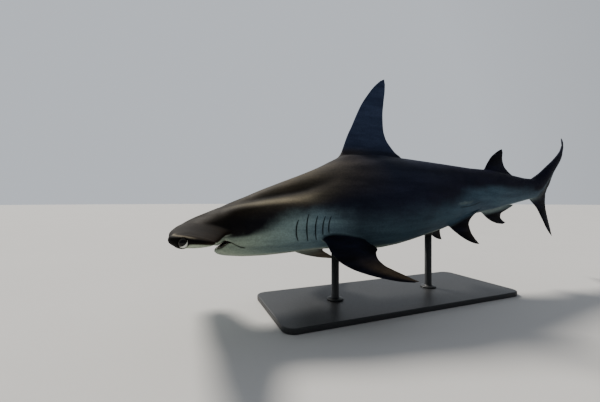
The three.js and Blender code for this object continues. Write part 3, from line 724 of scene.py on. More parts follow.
# [root station, side, height, fall along the root, narrowing, droop, curl]
PECTORAL_ROOT = (0.206, 0.056, -0.0385, -0.2, 0.02, math.radians(32), 0.6)
PELVIC_ROOT = (0.455, 0.027, -0.044, 0.12, 0.02, math.radians(72), 0)
FIN_NOSE_HEAVY = 0.34
FIN_AROUND, ROWS_PER_CHORD = 64, 6
FLARE, FLARE_FADE, FLARE_THICKNESS = 0.02, 0.016, 0.012
fin_points = []


def above_trunk(point):
    """How far a point stands out of the trunk, or nothing inside it."""
    near, normal, _, gap = trunk_surface.find_nearest(point)
    return gap if (point - near).dot(normal) > 0 else 0


def fin(design, shade, root=None, sign=0):
    """One fin, from its outline in side view or from its root outwards."""
    chords = [[k, *row] for k, row in enumerate(design[:-1])]
    last = len(chords) - 1
    rows = last * ROWS_PER_CHORD + 2

    def at(station, reach, off):
        if not root:
            return place(station, off, reach)
        start, side, height, fall, narrowing, droop, curl = root
        run = station - start
        angle = droop + curl * max(0, reach)
        out = side - narrowing * run + reach * math.cos(angle) + off * math.sin(angle)
        down = height + fall * run - reach * math.sin(angle) + off * math.cos(angle)
        return place(station, sign * out, down)

    def fin_at(turn, along):
        k = min(max(along * rows - 1, 0) / ROWS_PER_CHORD, last)
        lead, lead_height, trail, trail_height, thickness = read(chords, k)
        if along > 0.9999:
            return at(*design[-1], 0)
        if along < 0.0001:
            return at((lead + trail) / 2, (lead_height + trail_height) / 2, 0)
        fore = math.cos(turn)
        share = 0.5 - fore / 2
        run, rise = trail - lead, trail_height - lead_height
        gap = above_trunk(at(lead + run * share, lead_height + rise * share, 0))
        flare = FLARE * math.exp(-gap / FLARE_FADE) * thickness / FLARE_THICKNESS
        stretch = 1 + flare / LENGTH / math.hypot(run, rise)
        blade = math.sin(turn) * (1 + FIN_NOSE_HEAVY * fore) * (thickness + flare / LENGTH) / 2
        share = 0.5 - fore / 2 * stretch
        point = at(lead + run * share, lead_height + rise * share, blade)
        fin_points.append((point, shade, 0.5 - fore / 2, k / last, run, math.sin(turn)))
        return point

    bm = bmesh.new()
    wrap(bm, FIN_AROUND, rows, fin_at)
    return new_piece("fin", bm)


# How each fin is coloured: (gap from the body where dark begins, and where it
# is full, darkness, paleness of the underside, brownness of the tip). The
# darkness is partly the fin's own dusky tone and partly painted shade, and the
# brown at the tip is a painted highlight.
FIRST_DORSAL_SHADE = (0, 0.08, 0.3, 0, 0.1)
OTHER_SINGLE_FINS = (
    (SECOND_DORSAL, (0, 0.03, 1, 0, 0)),
    (ANAL, (0.01, 0.032, 1, 0, 0)),
    (UPPER_TAIL, (-0.01, 0.01, 1, 0, 0)),
    (LOWER_TAIL, (0, 0.025, 1, 0, 0)),
)
PAIRED_FINS = (
    (PECTORAL, (0, 0.012, 1, 0.5, 1), PECTORAL_ROOT),
    (PELVIC, (0.003, 0.02, 1, 0.4, 0.2), PELVIC_ROOT),
)
fins = fin(FIRST_DORSAL, FIRST_DORSAL_SHADE)
for design, shade in OTHER_SINGLE_FINS:
    work(fins, fin(design, shade), "UNION")
for sign in (1, -1):
    for design, shade, root in PAIRED_FINS:
        work(fins, fin(design, shade, root, sign), "UNION")
fin_tree = KDTree(len(fin_points))
for index, (point, *_) in enumerate(fin_points):
    fin_tree.insert(point, index)
fin_tree.balance()
fin_shape = bmesh.new()
fin_shape.from_mesh(fins.data)
fin_surface = BVHTree.FromBMesh(fin_shape)
fin_shape.free()
work(skin, fins, "UNION")

# Rubbing down the fin roots
# The corners where the fins leave the body are worked into soft hollows, and
# the skin is then thinned where it is plain, keeping fine faces on the head,
# in the gills, and at the fold where a pelvic fin's rear tip lies on the flank.
ROOT_REACH, ROOT_CORE = 0.03, 0.3
SKIN_FACES = 190000
THINNED_STRETCH, HEAD_THINNING, CORNER_THINNING = (0.1, 0.28), 0.15, 0.5
BLADE_SKIN, BLADE_CLEAR = 0.002, 0.02
GILL_STRETCH, GILL_HEIGHTS = (0.152, 0.158, 0.215, 0.22), (-0.042, -0.037, 0.002, 0.006)
PELVIC_FOLD = ([0.475, 0.5, 0.515, 0.535], [-0.017, -0.0175, -0.016, -0.0125])
FOLD_STRETCH, FOLD_REACH, FOLD_MIDDLE = (0.455, 0.465, 0.54, 0.55), (0.004, 0.009), 0.001
FOLD_OFF_MIDDLE = 0.02
GILL_FINENESS, FOLD_FINENESS = 0.97, 0.9
FLANK_STRETCH, CLEAR_OF_FINS = (0.235, 0.25, 0.66, 0.7), (0.07, 0.12)
HEAD_END, TURNED_OVER, NEAR_TRUNK, SEAM_GAP = 0.125, 0.2, 0.012, 0.0001
ON_TRUNK, BARELY = 0.01, 0.01


def gaps_of(piece):
    """For every vertex: the gap to the trunk and the gap to the nearest fin."""
    points = [v.co for v in piece.data.vertices]
    trunk_gap = np.array([above_trunk(p) for p in points])
    fin_gap = np.array([fin_surface.find_nearest(p)[3] for p in points])
    return trunk_gap, fin_gap


def gill_area(s, l, h):
    return over(s, *GILL_STRETCH) * over(h, *GILL_HEIGHTS) * (abs(l) > OFF_MIDDLE)


def above_fold(s, h):
    """How far above the pelvic fin's fold a place on the flank lies."""
    return h - np.interp(s, *PELVIC_FOLD)


def fold_area(s, l, h):
    near = fading(*FOLD_REACH, abs(above_fold(s, h) - FOLD_MIDDLE))
    return over(s, *FOLD_STRETCH) * near * (abs(l) > FOLD_OFF_MIDDLE)


def smooth(bm, verts, rounds=1):
    for _ in range(rounds):
        bmesh.ops.smooth_vert(
            bm, verts=verts, factor=0.5, use_axis_x=True, use_axis_y=True, use_axis_z=True
        )


def even_flanks(piece, rounds=3):
    """Spreads the flank's vertices evenly and lays them back on the trunk."""
    s, l, h = spine_stations(points_of(piece))
    trunk_gap, fin_gap = gaps_of(piece)
    share = smoothly(*CLEAR_OF_FINS, fin_gap) * over(s, *FLANK_STRETCH)
    share = share * (trunk_gap < ON_TRUNK)
    share = share * (gill_area(s, l, h) < BARELY) * (fold_area(s, l, h) < BARELY)
    bm = bmesh.new()
    bm.from_mesh(piece.data)
    eased = [v for v in bm.verts if share[v.index] > BARELY]
    smooth(bm, eased, rounds)
    for vertex in eased:
        on_trunk = trunk_surface.find_nearest(vertex.co)[0]
        vertex.co = vertex.co.lerp(on_trunk, float(share[vertex.index]))
    bm.to_mesh(piece.data)
    bm.free()


def flatten_folds(piece, rounds=5):
    """Eases the vertices of faces that thinning has turned over."""
    s, l, h = spine_stations(points_of(piece))
    plain = (s > HEAD_END) & (gill_area(s, l, h) < BARELY)
    bm = bmesh.new()
    bm.from_mesh(piece.data)
    for _ in range(rounds):
        bm.normal_update()
        folded = {v for f in bm.faces for v in f.verts if f.normal.dot(v.normal) < TURNED_OVER}
        folded = [v for v in folded if plain[v.index] and above_trunk(v.co) < NEAR_TRUNK]
        smooth(bm, folded)
    bm.to_mesh(piece.data)
    bm.free()


def close_up(piece, rounds=8):
    """Cuts out the few faulty spots that cutting and thinning leave, and closes them."""
    bm = bmesh.new()
    bm.from_mesh(piece.data)
    bmesh.ops.remove_doubles(bm, verts=bm.verts[:], dist=SEAM_GAP)
    for _ in range(rounds):
        faulty = {v for e in bm.edges if not e.is_manifold for v in e.verts}
        faulty |= {v for v in bm.verts if not v.is_manifold}
        if not faulty:
            break
        bmesh.ops.delete(bm, geom=sorted(faulty, key=lambda v: v.index), context="VERTS")
        loose = [v for v in bm.verts if not v.link_faces]
        bmesh.ops.delete(bm, geom=loose, context="VERTS")
        rims = [e for e in bm.edges if e.is_boundary]
        made = bmesh.ops.holes_fill(bm, edges=rims, sides=0)["faces"]
        bmesh.ops.triangulate(bm, faces=made)
        bm.verts.index_update()
    bm.to_mesh(piece.data)
    bm.free()
    piece.data.validate()


s, l, h = spine_stations(points_of(skin))
trunk_gap, fin_gap = gaps_of(skin)
gills, folds = gill_area(s, l, h), fold_area(s, l, h)
corner = fading(ROOT_CORE, 1, trunk_gap / ROOT_REACH) * fading(ROOT_CORE, 1, fin_gap / ROOT_REACH)
corner = corner * (1 - gills)
skin.vertex_groups.clear()
weigh(skin, "corner", corner)
settle(skin, "SMOOTH", factor=0.5, iterations=24, vertex_group="corner")
skin.vertex_groups.clear()
plainness = np.maximum(smoothly(*THINNED_STRETCH, s) - CORNER_THINNING * corner, HEAD_THINNING)
plainness = np.where((fin_gap < BLADE_SKIN) & (trunk_gap > BLADE_CLEAR), 0, plainness)
plainness = np.minimum(plainness, 1 - GILL_FINENESS * np.maximum(gills, FOLD_FINENESS * folds))
weigh(skin, "plain", plainness)
faces_now = sum(len(p.vertices) - 2 for p in skin.data.polygons)
settle(skin, "DECIMATE", ratio=min(1, SKIN_FACES / faces_now), vertex_group="plain")
skin.vertex_groups.clear()
even_flanks(skin)
flatten_folds(skin)
close_up(skin)

# The skin's colours
# Countershaded: brown-grey above, near-black slate on the flank, pale below,
# with dark fins and a dull red mouth. Much of the darkness of the flank, the
# fins and the mouth is painted shade, and painted highlights and painted shade
# lie on the shoulder, the brow, the fin tips, the slits and the pelvic fold.
# Each vertex is told its shares.
# [station, border between dark and pale, its softness]
PALE_BORDER = [
    [0, -0.3, 0.3],
    [0.06, -0.3, 0.25],
    [0.085, -0.28, 0.08],
    [0.1, -0.28, 0.09],
    [0.115, -0.22, 0.2],
    [0.135, -0.08, 0.4],
    [0.16, 0.12, 0.45],
    [0.2, 0.08, 0.4],
    [0.25, -0.2, 0.5],
    [0.3, -0.3, 0.5],
    [0.38, -0.3, 0.5],
    [0.45, -0.2, 0.4],
    [0.5, 0.1, 0.35],
    [0.56, 0.2, 0.28],
    [0.65, 0.15, 0.25],
    [0.72, -0.15, 0.25],
    [0.78, -0.5, 0.3],
]
# Where the other colours lie: stations back from the nose, levels, or ways out
# from the middle. Four numbers are a stretch: it rises, is full, falls, is gone.
BELLY_TOP, BACK_FOOT = (-0.98, -0.82), (0.05, 0.8)
WING_SIDE, WING_BACK, SNOUT_BACK = (0.042, 0.062), (0.1, 0.105), (0.05, 0.075)
WING_UNDERSIDE = (-0.004, -0.0005)
BAND_TOP = ([0.02, 0.03, 0.045, 0.056], [0.005, 0.0045, 0.003, 0.001])
BAND_FOOT = ([0.022, 0.03, 0.036, 0.056], [-0.009, -0.006, -0.0012, 0.001])
BAND_TOP_SOFT, BAND_FOOT_SOFT, BAND_SIDE, BAND_BACK = 0.0008, 0.0012, (0.1, 0.108), (0.045, 0.057)
# Where the painted highlight along the brow lies.
BROW_STRETCH, BROW_LIFT, BROW_WIDTH = (0.017, 0.022, 0.034, 0.044), 0.0004, 0.0006
FIN_SKIN, FINS_FROM = 0.003, 0.13
REAR_EDGE, REAR_EDGE_CLEAR = (0.93, 0.98), (0.008, 0.022)
UNDERSIDE, UNDERSIDE_REAR, UNDERSIDE_END = (0.02, 0.3), (0.7, 0.95), (0.45, 0.8)
# Where the painted highlight towards a fin's tip lies.
TIP_HIGHLIGHT_ALONG, TIP_HIGHLIGHT_BEHIND = (0.35, 0.85), (0.05, 0.5)
# Where the painted shoulder highlight lies, and the painted shade of the hollow.
SHELF_DROP, SHELF_WIDTH, MUSCLE_FULL = 1, 7, 0.0044
HOLLOW_WIDTH, HOLLOW_STRETCH = 8, (0.1, 0.14, 0.2, 0.27)
# Where the mouth's inside lies, whose dull red is darkened as painted shade.
LIP_OVERHANG, GUM_DEPTH, GUM_SOFT = 0.004, 0.0022, 0.0025
GUM_STRETCH, GUM_ABOVE, GUM_BELOW = (0.0705, 0.0725, 0.085, 0.09), 0.0018, 0.012
CREASE_STRETCH = (0.0825, 0.085, 0.1, 0.104)
# How deep the painted shade in the gill slits begins and is full.
SLIT_SUNK, SLITS_FROM, SLITS_TO = (0.0015, 0.006), 0.15, 0.225
TAIL_ROOT, TAIL_ROOT_REACH = (0.66, 0.69, 0.8, 0.84), (0.04, 0.08)
# Where the painted shadow line of the pelvic fold lies, and how dark it is.
FOLD_SHADOW, FOLD_WIDTH, FOLD_SHADOW_DARKNESS = (0.466, 0.48, 0.528, 0.537), 0.001, 0.75
# Where the painted highlight on the pelvic fold lies, above its painted shadow.
FOLD_HIGHLIGHT, FOLD_HIGHLIGHT_LIFT, FOLD_HIGHLIGHT_WIDTH = (0.45, 0.472, 0.5, 0.525), 0.0065, 0.0038
FOLD_HIGHLIGHT_BELLY = 0.45
# Where the first dorsal's painted blue water light lies.
SAIL_FROM, SAIL_TO, SAIL_FOOT, SAIL_CLEAR = 0.25, 0.45, 0.07, (0.01, 0.06)


def attribute(piece, name, values):
    """One number on every vertex, for a finish to read."""
    layer = piece.data.attributes.new(name, "FLOAT", "POINT")
    layer.data.foreach_set("value", np.asarray(values, dtype=np.float32))


def below_trunk(point):
    """How deep a point lies inside the trunk, or nothing outside it."""
    near, normal, _, gap = trunk_surface.find_nearest(point)
    return gap if (point - near).dot(normal) < 0 else 0


def along_trunk(table, stations):
    """A table's columns read at many stations."""
    marks = np.linspace(table[0][0], table[-1][0], 400)
    columns = np.array([read(table, m) for m in marks])
    return [np.interp(stations, marks, columns[:, c]) for c in range(columns.shape[1])]


def side_at(stations, heights, table):
    """How far out a form's side is, at many stations and heights."""
    top, bottom, half, level = along_trunk(table, stations)
    reach = np.maximum(np.where(heights > level, top - level, level - bottom), 1e-6)
    upward = np.clip(abs(heights - level) / reach, 0, 1) ** (1 / FLANK_FULLNESS)
    return half * np.sqrt(1 - upward * upward) ** FLANK_FULLNESS


def streak(away, width):
    """One on a line, fading to nothing on both of its sides."""
    return np.exp(-((away / width) ** 2))


def evened(piece, values, where, rounds=12):
    """Values averaged with their neighbours' along the mesh's edges."""
    ends = np.empty(2 * len(piece.data.edges), dtype=np.int64)
    piece.data.edges.foreach_get("vertices", ends)
    first, second = ends[0::2], ends[1::2]
    count = np.bincount(ends, minlength=len(values))
    for _ in range(rounds):
        around = np.bincount(first, values[second], len(values))
        around = around + np.bincount(second, values[first], len(values))
        values = values + where * 0.5 * (around / count - values)
    return values


s, l, h = spine_stations(points_of(skin))
trunk_gap, fin_gap = gaps_of(skin)
top, bottom, half, level = along_trunk(TRUNK, s)
rise = np.where(h > level, (h - level) / (top - level), (h - level) / (level - bottom))
border, soft = along_trunk(PALE_BORDER, s)
pale = fading(-1, 1, (rise - border) / soft)
belly = fading(*BELLY_TOP, rise)

front, rear, _, front_level, rear_level, _ = along_trunk(WING, np.minimum(abs(l), WING_ROUNDS_FROM))
share = np.clip((s - front) / (rear - front), 0, 1)
from_middle = h - front_level - (rear_level - front_level) * share
wing_pale = fading(*WING_UNDERSIDE, from_middle)
wing_share = np.maximum(smoothly(*WING_SIDE, abs(l)) * fading(*WING_BACK, s), fading(*SNOUT_BACK, s))
pale = pale * (1 - wing_share) + wing_pale * wing_share
belly = belly * (1 - wing_share) + wing_pale * wing_share
upper_back = smoothly(*BACK_FOOT, rise) * (1 - wing_share) + wing_share

# The band under the brow, round the eye and along the nostril's edge, is darkened: partly the skin's darker
# colour, partly painted shade.
band_top, band_foot = np.interp(s, *BAND_TOP), np.interp(s, *BAND_FOOT)
under_brow = smoothly(band_foot - BAND_FOOT_SOFT, band_foot, from_middle)
under_brow = under_brow * fading(band_top - BAND_TOP_SOFT, band_top + BAND_TOP_SOFT, from_middle)
under_brow = under_brow * smoothly(*BAND_SIDE, abs(l)) * fading(*BAND_BACK, s)
# A thin painted highlight along the brow's rim above the eye.
brow_highlight = streak(from_middle - band_top - BROW_LIFT, BROW_WIDTH) * smoothly(*BAND_SIDE, abs(l))
brow_highlight = brow_highlight * over(s, *BROW_STRETCH)

on_fin = (fin_gap < FIN_SKIN) & (s > FINS_FROM)
nearest = [fin_points[fin_tree.find(v.co)[1]] for v in skin.data.vertices]
fin_share, fin_along, fin_run, fin_top = np.array([point[2:] for point in nearest]).T
dark_from, dark_full, darkness, under_pale, tip_highlight_strength = np.array([point[1] for point in nearest]).T
# The fins darken away from the body, partly their own dusky tone and partly painted shade.
fin_dark = darkness * np.clip((trunk_gap - dark_from) / (dark_full - dark_from), 0, 1)
rear_edge = smoothly(*REAR_EDGE, fin_share) * smoothly(*REAR_EDGE_CLEAR, trunk_gap)
fin_dark = np.maximum(fin_dark, rear_edge)
fin_under = under_pale * smoothly(*UNDERSIDE, -fin_top) * fading(*UNDERSIDE_REAR, fin_share)
fin_under = fin_under * fading(*UNDERSIDE_END, fin_along)
fin_dark = np.where(on_fin, fin_dark * (1 - fin_under), 0)
belly = np.where(on_fin, np.maximum(belly, fin_under), belly)
# A painted highlight of the fin's brown towards the tip and rear edge.
tip_highlight = tip_highlight_strength * smoothly(*TIP_HIGHLIGHT_ALONG, fin_along) * smoothly(*TIP_HIGHLIGHT_BEHIND, fin_share)
# The first dorsal's blade is lighter and bluer: its own slate with painted blue water light.
sail = on_fin & (s > SAIL_FROM) & (s < SAIL_TO) & (h > SAIL_FOOT)

_, muscle, between = along_trunk(SHOULDER, s)
steep = np.degrees(np.arctan2(rise, np.maximum(abs(l) / half, 1e-4)))
off_wing = (1 - wing_share) * ~on_fin
# A painted highlight along the upper face of the shoulder muscle.
shoulder_highlight = streak(steep - between + SHELF_DROP, SHELF_WIDTH) * np.clip(muscle / MUSCLE_FULL, 0, 1) * off_wing
# Painted shade in the hollow under the back's ridge.
hollow = streak(steep - between - HOLLOW_TURN, HOLLOW_WIDTH) * over(s, *HOLLOW_STRETCH) * off_wing

roof, rim = along_trunk(MOUTH_ROOF, s)[0], along_trunk(JAW_RIM, s)[0]
upper_lip = along_trunk(JAW, s)[2] + LIP_OVERHANG
lip_side = np.where(abs(h - roof) < abs(h - rim), upper_lip, side_at(s, h, JAW))
# Inside the lips the skin is dull red, darkened nearly to black as painted shade.
gum = smoothly(0, GUM_SOFT, lip_side - GUM_DEPTH - abs(l)) * over(s, *GUM_STRETCH)
gum = gum * (h < roof + GUM_ABOVE) * (h > rim - GUM_BELOW)
# Painted shade: a dark line along the crease between the lips, and darkening that deepens as the skin sinks
# into the gill slits.
crease_shade = streak(h - (roof + rim) / 2, CREASE_WIDTH) * over(s, *CREASE_STRETCH)
sunk = np.array([below_trunk(v.co) for v in skin.data.vertices])
slit_shade = smoothly(*SLIT_SUNK, sunk) * (s > SLITS_FROM) * (s < SLITS_TO)
slit_shade = np.maximum(slit_shade, crease_shade) * (abs(l) > OFF_MIDDLE)

tail_root = over(s, *TAIL_ROOT) * fading(*TAIL_ROOT_REACH, abs(h))
fin_dark = evened(skin, fin_dark, tail_root)
pale = evened(skin, pale, tail_root)
belly = evened(skin, belly, tail_root)

beside = (abs(l) > FOLD_OFF_MIDDLE) & ~on_fin
# A painted shadow line where the pelvic fin's rear tip lies on the flank.
pelvic_fold_shadow = streak(above_fold(s, h), FOLD_WIDTH) * over(s, *FOLD_SHADOW) * beside
# A painted highlight on the fold just above the shadow line.
fold_highlight = streak(above_fold(s, h) - FOLD_HIGHLIGHT_LIFT, FOLD_HIGHLIGHT_WIDTH) * over(s, *FOLD_HIGHLIGHT) * beside
slit_shade = np.maximum(slit_shade, FOLD_SHADOW_DARKNESS * pelvic_fold_shadow)
pale = np.maximum(pale, fold_highlight)
belly = np.maximum(belly, FOLD_HIGHLIGHT_BELLY * fold_highlight)
for told, values in {
    "station": s,
    "pale": pale,
    "belly": belly,
    "upper_back": upper_back,
    "shoulder_highlight": shoulder_highlight,
    "hollow": hollow,
    "brow_highlight": brow_highlight,
    "under_brow": under_brow,
    "gum": gum,
    "recess_shade": slit_shade,
    "fin_dark": fin_dark,
    "tip_highlight": np.where(on_fin, tip_highlight, 0),
    "rays": np.where(on_fin, fin_share * fin_run * LENGTH, 0),
    "sail": np.where(sail, smoothly(*SAIL_CLEAR, trunk_gap), 0),
}.items():
    attribute(skin, told, values)

# [station, red, green, blue] of each part of the animal's length. Besides the
# animal's own countershading these tones hold painted light: the back is
# lighter at the shoulder as a painted highlight, the flank is kept near-black
# as painted shade, the pale and belly tones are darker along the trunk than at
# the head as painted shade, and a blue cast stands in for the water's light.
BACK_TONES = [
    (0, 0.013, 0.0085, 0.004),
    (0.055, 0.011, 0.007, 0.0035),
    (0.09, 0.013, 0.009, 0.005),
    (0.13, 0.05, 0.041, 0.028),
    (0.2, 0.07, 0.06, 0.043),
    (0.27, 0.05, 0.045, 0.045),
    (0.33, 0.02, 0.026, 0.048),
    (0.5, 0.007, 0.008, 0.022),
    (1, 0.003, 0.003, 0.012),
]
FLANK_TONES = [
    (0, 0.014, 0.012, 0.009),
    (0.1, 0.008, 0.008, 0.01),
    (0.2, 0.008, 0.01, 0.02),
    (0.35, 0.011, 0.014, 0.032),
    (0.5, 0.006, 0.007, 0.02),
    (1, 0.003, 0.003, 0.01),
]
PALE_TONES = [
    (0, 0.2, 0.21, 0.15),
    (0.1, 0.24, 0.31, 0.26),
    (0.15, 0.18, 0.26, 0.26),
    (0.2, 0.14, 0.22, 0.26),
    (0.26, 0.038, 0.066, 0.088),
    (0.4, 0.034, 0.066, 0.094),
    (0.5, 0.042, 0.082, 0.122),
    (0.7, 0.056, 0.098, 0.135),
    (1, 0.015, 0.017, 0.025),
]
BELLY_TONES = [
    (0, 0.34, 0.4, 0.32),
    (0.15, 0.3, 0.36, 0.3),
    (0.3, 0.2, 0.26, 0.22),
    (0.6, 0.14, 0.19, 0.2),
    (1, 0.04, 0.05, 0.06),
]
FIN_BLACK = (0.002, 0.002, 0.004, 1)
FIN_SLATE = (0.007, 0.009, 0.022, 1)
SAIL_SLATE_AND_WATER_LIGHT = (0.03, 0.046, 0.096, 1)
TIP_HIGHLIGHT_BROWN = (0.14, 0.1, 0.055, 1)
SHOULDER_HIGHLIGHT_GOLD = (0.26, 0.23, 0.16, 1)
HOLLOW_SHADE = (0.008, 0.007, 0.007, 1)
BROW_HIGHLIGHT = (0.34, 0.3, 0.22, 1)
SHADE_AND_DARK_SKIN = (0.004, 0.0035, 0.003, 1)
GUM_RED_IN_SHADE = (0.03, 0.014, 0.012, 1)
RAY_SPACING = 0.0055


class Finish:
    """A material and short ways to lay its nodes."""

    def __init__(self, name):
        self.material = bpy.data.materials.new(name)
        self.material.use_nodes = True
        self.tree = self.material.node_tree
        self.shader = self.tree.nodes["Principled BSDF"]
        self.place = self.node("ShaderNodeTexCoord").outputs["Object"]
        self.height = None

    def node(self, kind, **settings):
        made = self.tree.nodes.new(kind)
        for key, value in settings.items():
            setattr(made, key, value)
        return made

    def put(self, socket, value):
        if isinstance(value, bpy.types.NodeSocket):
            self.tree.links.new(value, socket)
        else:
            socket.default_value = value

    def noise(self, scale, detail=4, rough=0.55, stretch=(1, 1, 1)):
        spread = self.node("ShaderNodeMapping")
        self.put(spread.inputs["Vector"], self.place)
        spread.inputs["Scale"].default_value = stretch
        cloud = self.node("ShaderNodeTexNoise")
        self.put(cloud.inputs["Vector"], spread.outputs[0])
        cloud.inputs["Scale"].default_value = scale
        cloud.inputs["Detail"].default_value = detail
        cloud.inputs["Roughness"].default_value = rough
        return cloud.outputs["Fac"]

    def told(self, name):
        return self.node("ShaderNodeAttribute", attribute_name=name).outputs["Fac"]

    def math(self, operation, *values):
        made = self.node("ShaderNodeMath", operation=operation)
        for socket, value in zip(made.inputs, values):
            self.put(socket, value)
        return made.outputs[0]

    def span(self, value, low, high, to_low=0.0, to_high=1.0):
        made = self.node("ShaderNodeMapRange", interpolation_type="SMOOTHSTEP")
        for socket, item in zip(made.inputs, (value, low, high, to_low, to_high)):
            self.put(socket, item)
        return made.outputs[0]

    def mix(self, share, first, second, way="MIX"):
        made = self.node("ShaderNodeMix", data_type="RGBA", blend_type=way)
        self.put(made.inputs[0], share)
        self.put(made.inputs[6], first)
        self.put(made.inputs[7], second)
        return made.outputs[2]

    def tones(self, place, table):
        ramp = self.node("ShaderNodeValToRGB")
        self.put(ramp.inputs[0], place)
        stops = ramp.color_ramp.elements
        for stop, (at, *tone) in zip((stops[0], stops[1]), (table[0], table[-1])):
            stop.position, stop.color = at, (*tone, 1)
        for at, *tone in table[1:-1]:
            stops.new(at).color = (*tone, 1)
        return ramp.outputs[0]

    def bump(self, height, depth, strength=1.0):
        made = self.node("ShaderNodeBump")
        made.inputs["Strength"].default_value = strength
        made.inputs["Distance"].default_value = depth
        self.put(made.inputs["Height"], height)
        if self.height:
            self.put(made.inputs["Normal"], self.height)
        self.height = made.outputs[0]
        self.put(self.shader.inputs["Normal"], self.height)

    def two_tone(self, share, dark, light):
        self.put(self.shader.inputs["Base Color"], self.mix(share, dark, light))

    def tinted(self, colour, name, strength, tint):
        """A colour with another laid over it where an attribute says."""
        return self.mix(self.math("MULTIPLY", self.told(name), strength), colour, tint)

    def onto(self, piece):
        piece.data.materials.clear()
        piece.data.materials.append(self.material)


hide = Finish("shark_skin")
mottle = hide.noise(7, 5, 0.6)
speckle = hide.noise(120, 3, 0.6)
streaks = hide.noise(9, 4, 0.6, (0.35, 1, 2.2))
station = hide.told("station")
ragged = hide.math("MULTIPLY", hide.span(mottle, 0.3, 0.7, -0.5, 0.5), 0.25)
pale_share = hide.span(hide.math("ADD", hide.told("pale"), ragged), 0.05, 0.95)
belly_share = hide.span(hide.math("ADD", hide.told("belly"), ragged), 0.1, 0.9)
flank_colour, back_colour = hide.tones(station, FLANK_TONES), hide.tones(station, BACK_TONES)
top_colour = hide.mix(hide.told("upper_back"), flank_colour, back_colour)
# Painted shade darkens the shoulder hollow.
top_colour = hide.tinted(top_colour, "hollow", 0.88, HOLLOW_SHADE)
# A painted golden highlight on the shoulder muscle.
top_colour = hide.tinted(top_colour, "shoulder_highlight", 0.6, SHOULDER_HIGHLIGHT_GOLD)
colour = hide.mix(pale_share, top_colour, hide.tones(station, PALE_TONES))
colour = hide.mix(belly_share, colour, hide.tones(station, BELLY_TONES))
fin_colour = hide.mix(hide.span(streaks, 0.35, 0.75), FIN_BLACK, FIN_SLATE)
# A painted brown highlight towards the fin tips.
fin_colour = hide.tinted(fin_colour, "tip_highlight", streaks, TIP_HIGHLIGHT_BROWN)
# The fins' near-black is partly their own dusky tone and partly painted shade.
colour = hide.mix(hide.told("fin_dark"), colour, fin_colour)
# The first dorsal's slate, lightened and blued as painted water light.
colour = hide.tinted(colour, "sail", 0.85, SAIL_SLATE_AND_WATER_LIGHT)
# The band under the brow turns near-black, partly darker skin and partly painted shade.
colour = hide.mix(hide.told("under_brow"), colour, SHADE_AND_DARK_SKIN)
# A painted highlight along the brow.
colour = hide.tinted(colour, "brow_highlight", 0.55, BROW_HIGHLIGHT)
blotches = hide.mix(hide.span(streaks, 0.3, 0.7), (0.72, 0.72, 0.75, 1), (1.3, 1.26, 1.2, 1))
colour = hide.mix(1.0, colour, blotches, "MULTIPLY")
colour = hide.mix(hide.span(speckle, 0.35, 0.65, 0.2, 0), colour, FIN_BLACK)
# The mouth's dull red, darkened as painted shade.
colour = hide.mix(hide.told("gum"), colour, GUM_RED_IN_SHADE)
# Painted shade in the gill slits, the mouth's crease and the pelvic fold.
colour = hide.tinted(colour, "recess_shade", 0.95, SHADE_AND_DARK_SKIN)
hide.put(hide.shader.inputs["Base Color"], colour)
hide.put(hide.shader.inputs["Roughness"], hide.span(mottle, 0.3, 0.7, 0.56, 0.7))
hide.shader.inputs["IOR"].default_value = 1.14
ray_place = hide.math("ADD", hide.told("rays"), hide.math("MULTIPLY", hide.noise(14, 2), 0.02))
ribs = hide.math("SINE", hide.math("MULTIPLY", ray_place, 2 * math.pi / RAY_SPACING))
hide.bump(hide.math("MULTIPLY", ribs, hide.told("fin_dark")), 0.0004, 0.3)
hide.bump(hide.noise(18, 4, 0.6), 0.004, 0.35)
hide.bump(hide.noise(420, 3, 0.6), 0.0005, 0.6)
hide.onto(skin)
skin.data.shade_smooth()
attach(skin, "root")
FLESH_NODES = (
    "head",
    "lower_jaw",
    "gill_region",
    "trunk_front",
    "trunk_rear",
    "tail_stalk",
    "tail_upper_lobe",
    "tail_lower_lobe",
    "dorsal_fin_first",
    "dorsal_fin_second",
    "anal_fin",
    "pectoral_fin_left",
    "pectoral_fin_right",
    "pelvic_fin_left",
    "pelvic_fin_right",
)
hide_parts(*FLESH_NODES)

# The teeth
# A front row of flat, pointed, backward-leaning blades in each jaw, of
# enamel over dentine, shorter where the lips come together.
TEETH = 19
TOOTH_HEIGHT, TOOTH_RADIUS, TOOTH_SUNK, TOOTH_SHARE = 0.0036, 0.0016, 0.0014, 0.42
TOOTH_POINT, TOOTH_FLATNESS, TOOTH_CURVE, TOOTH_LEAN = 0.06, 0.42, 0.0011, 0.0006


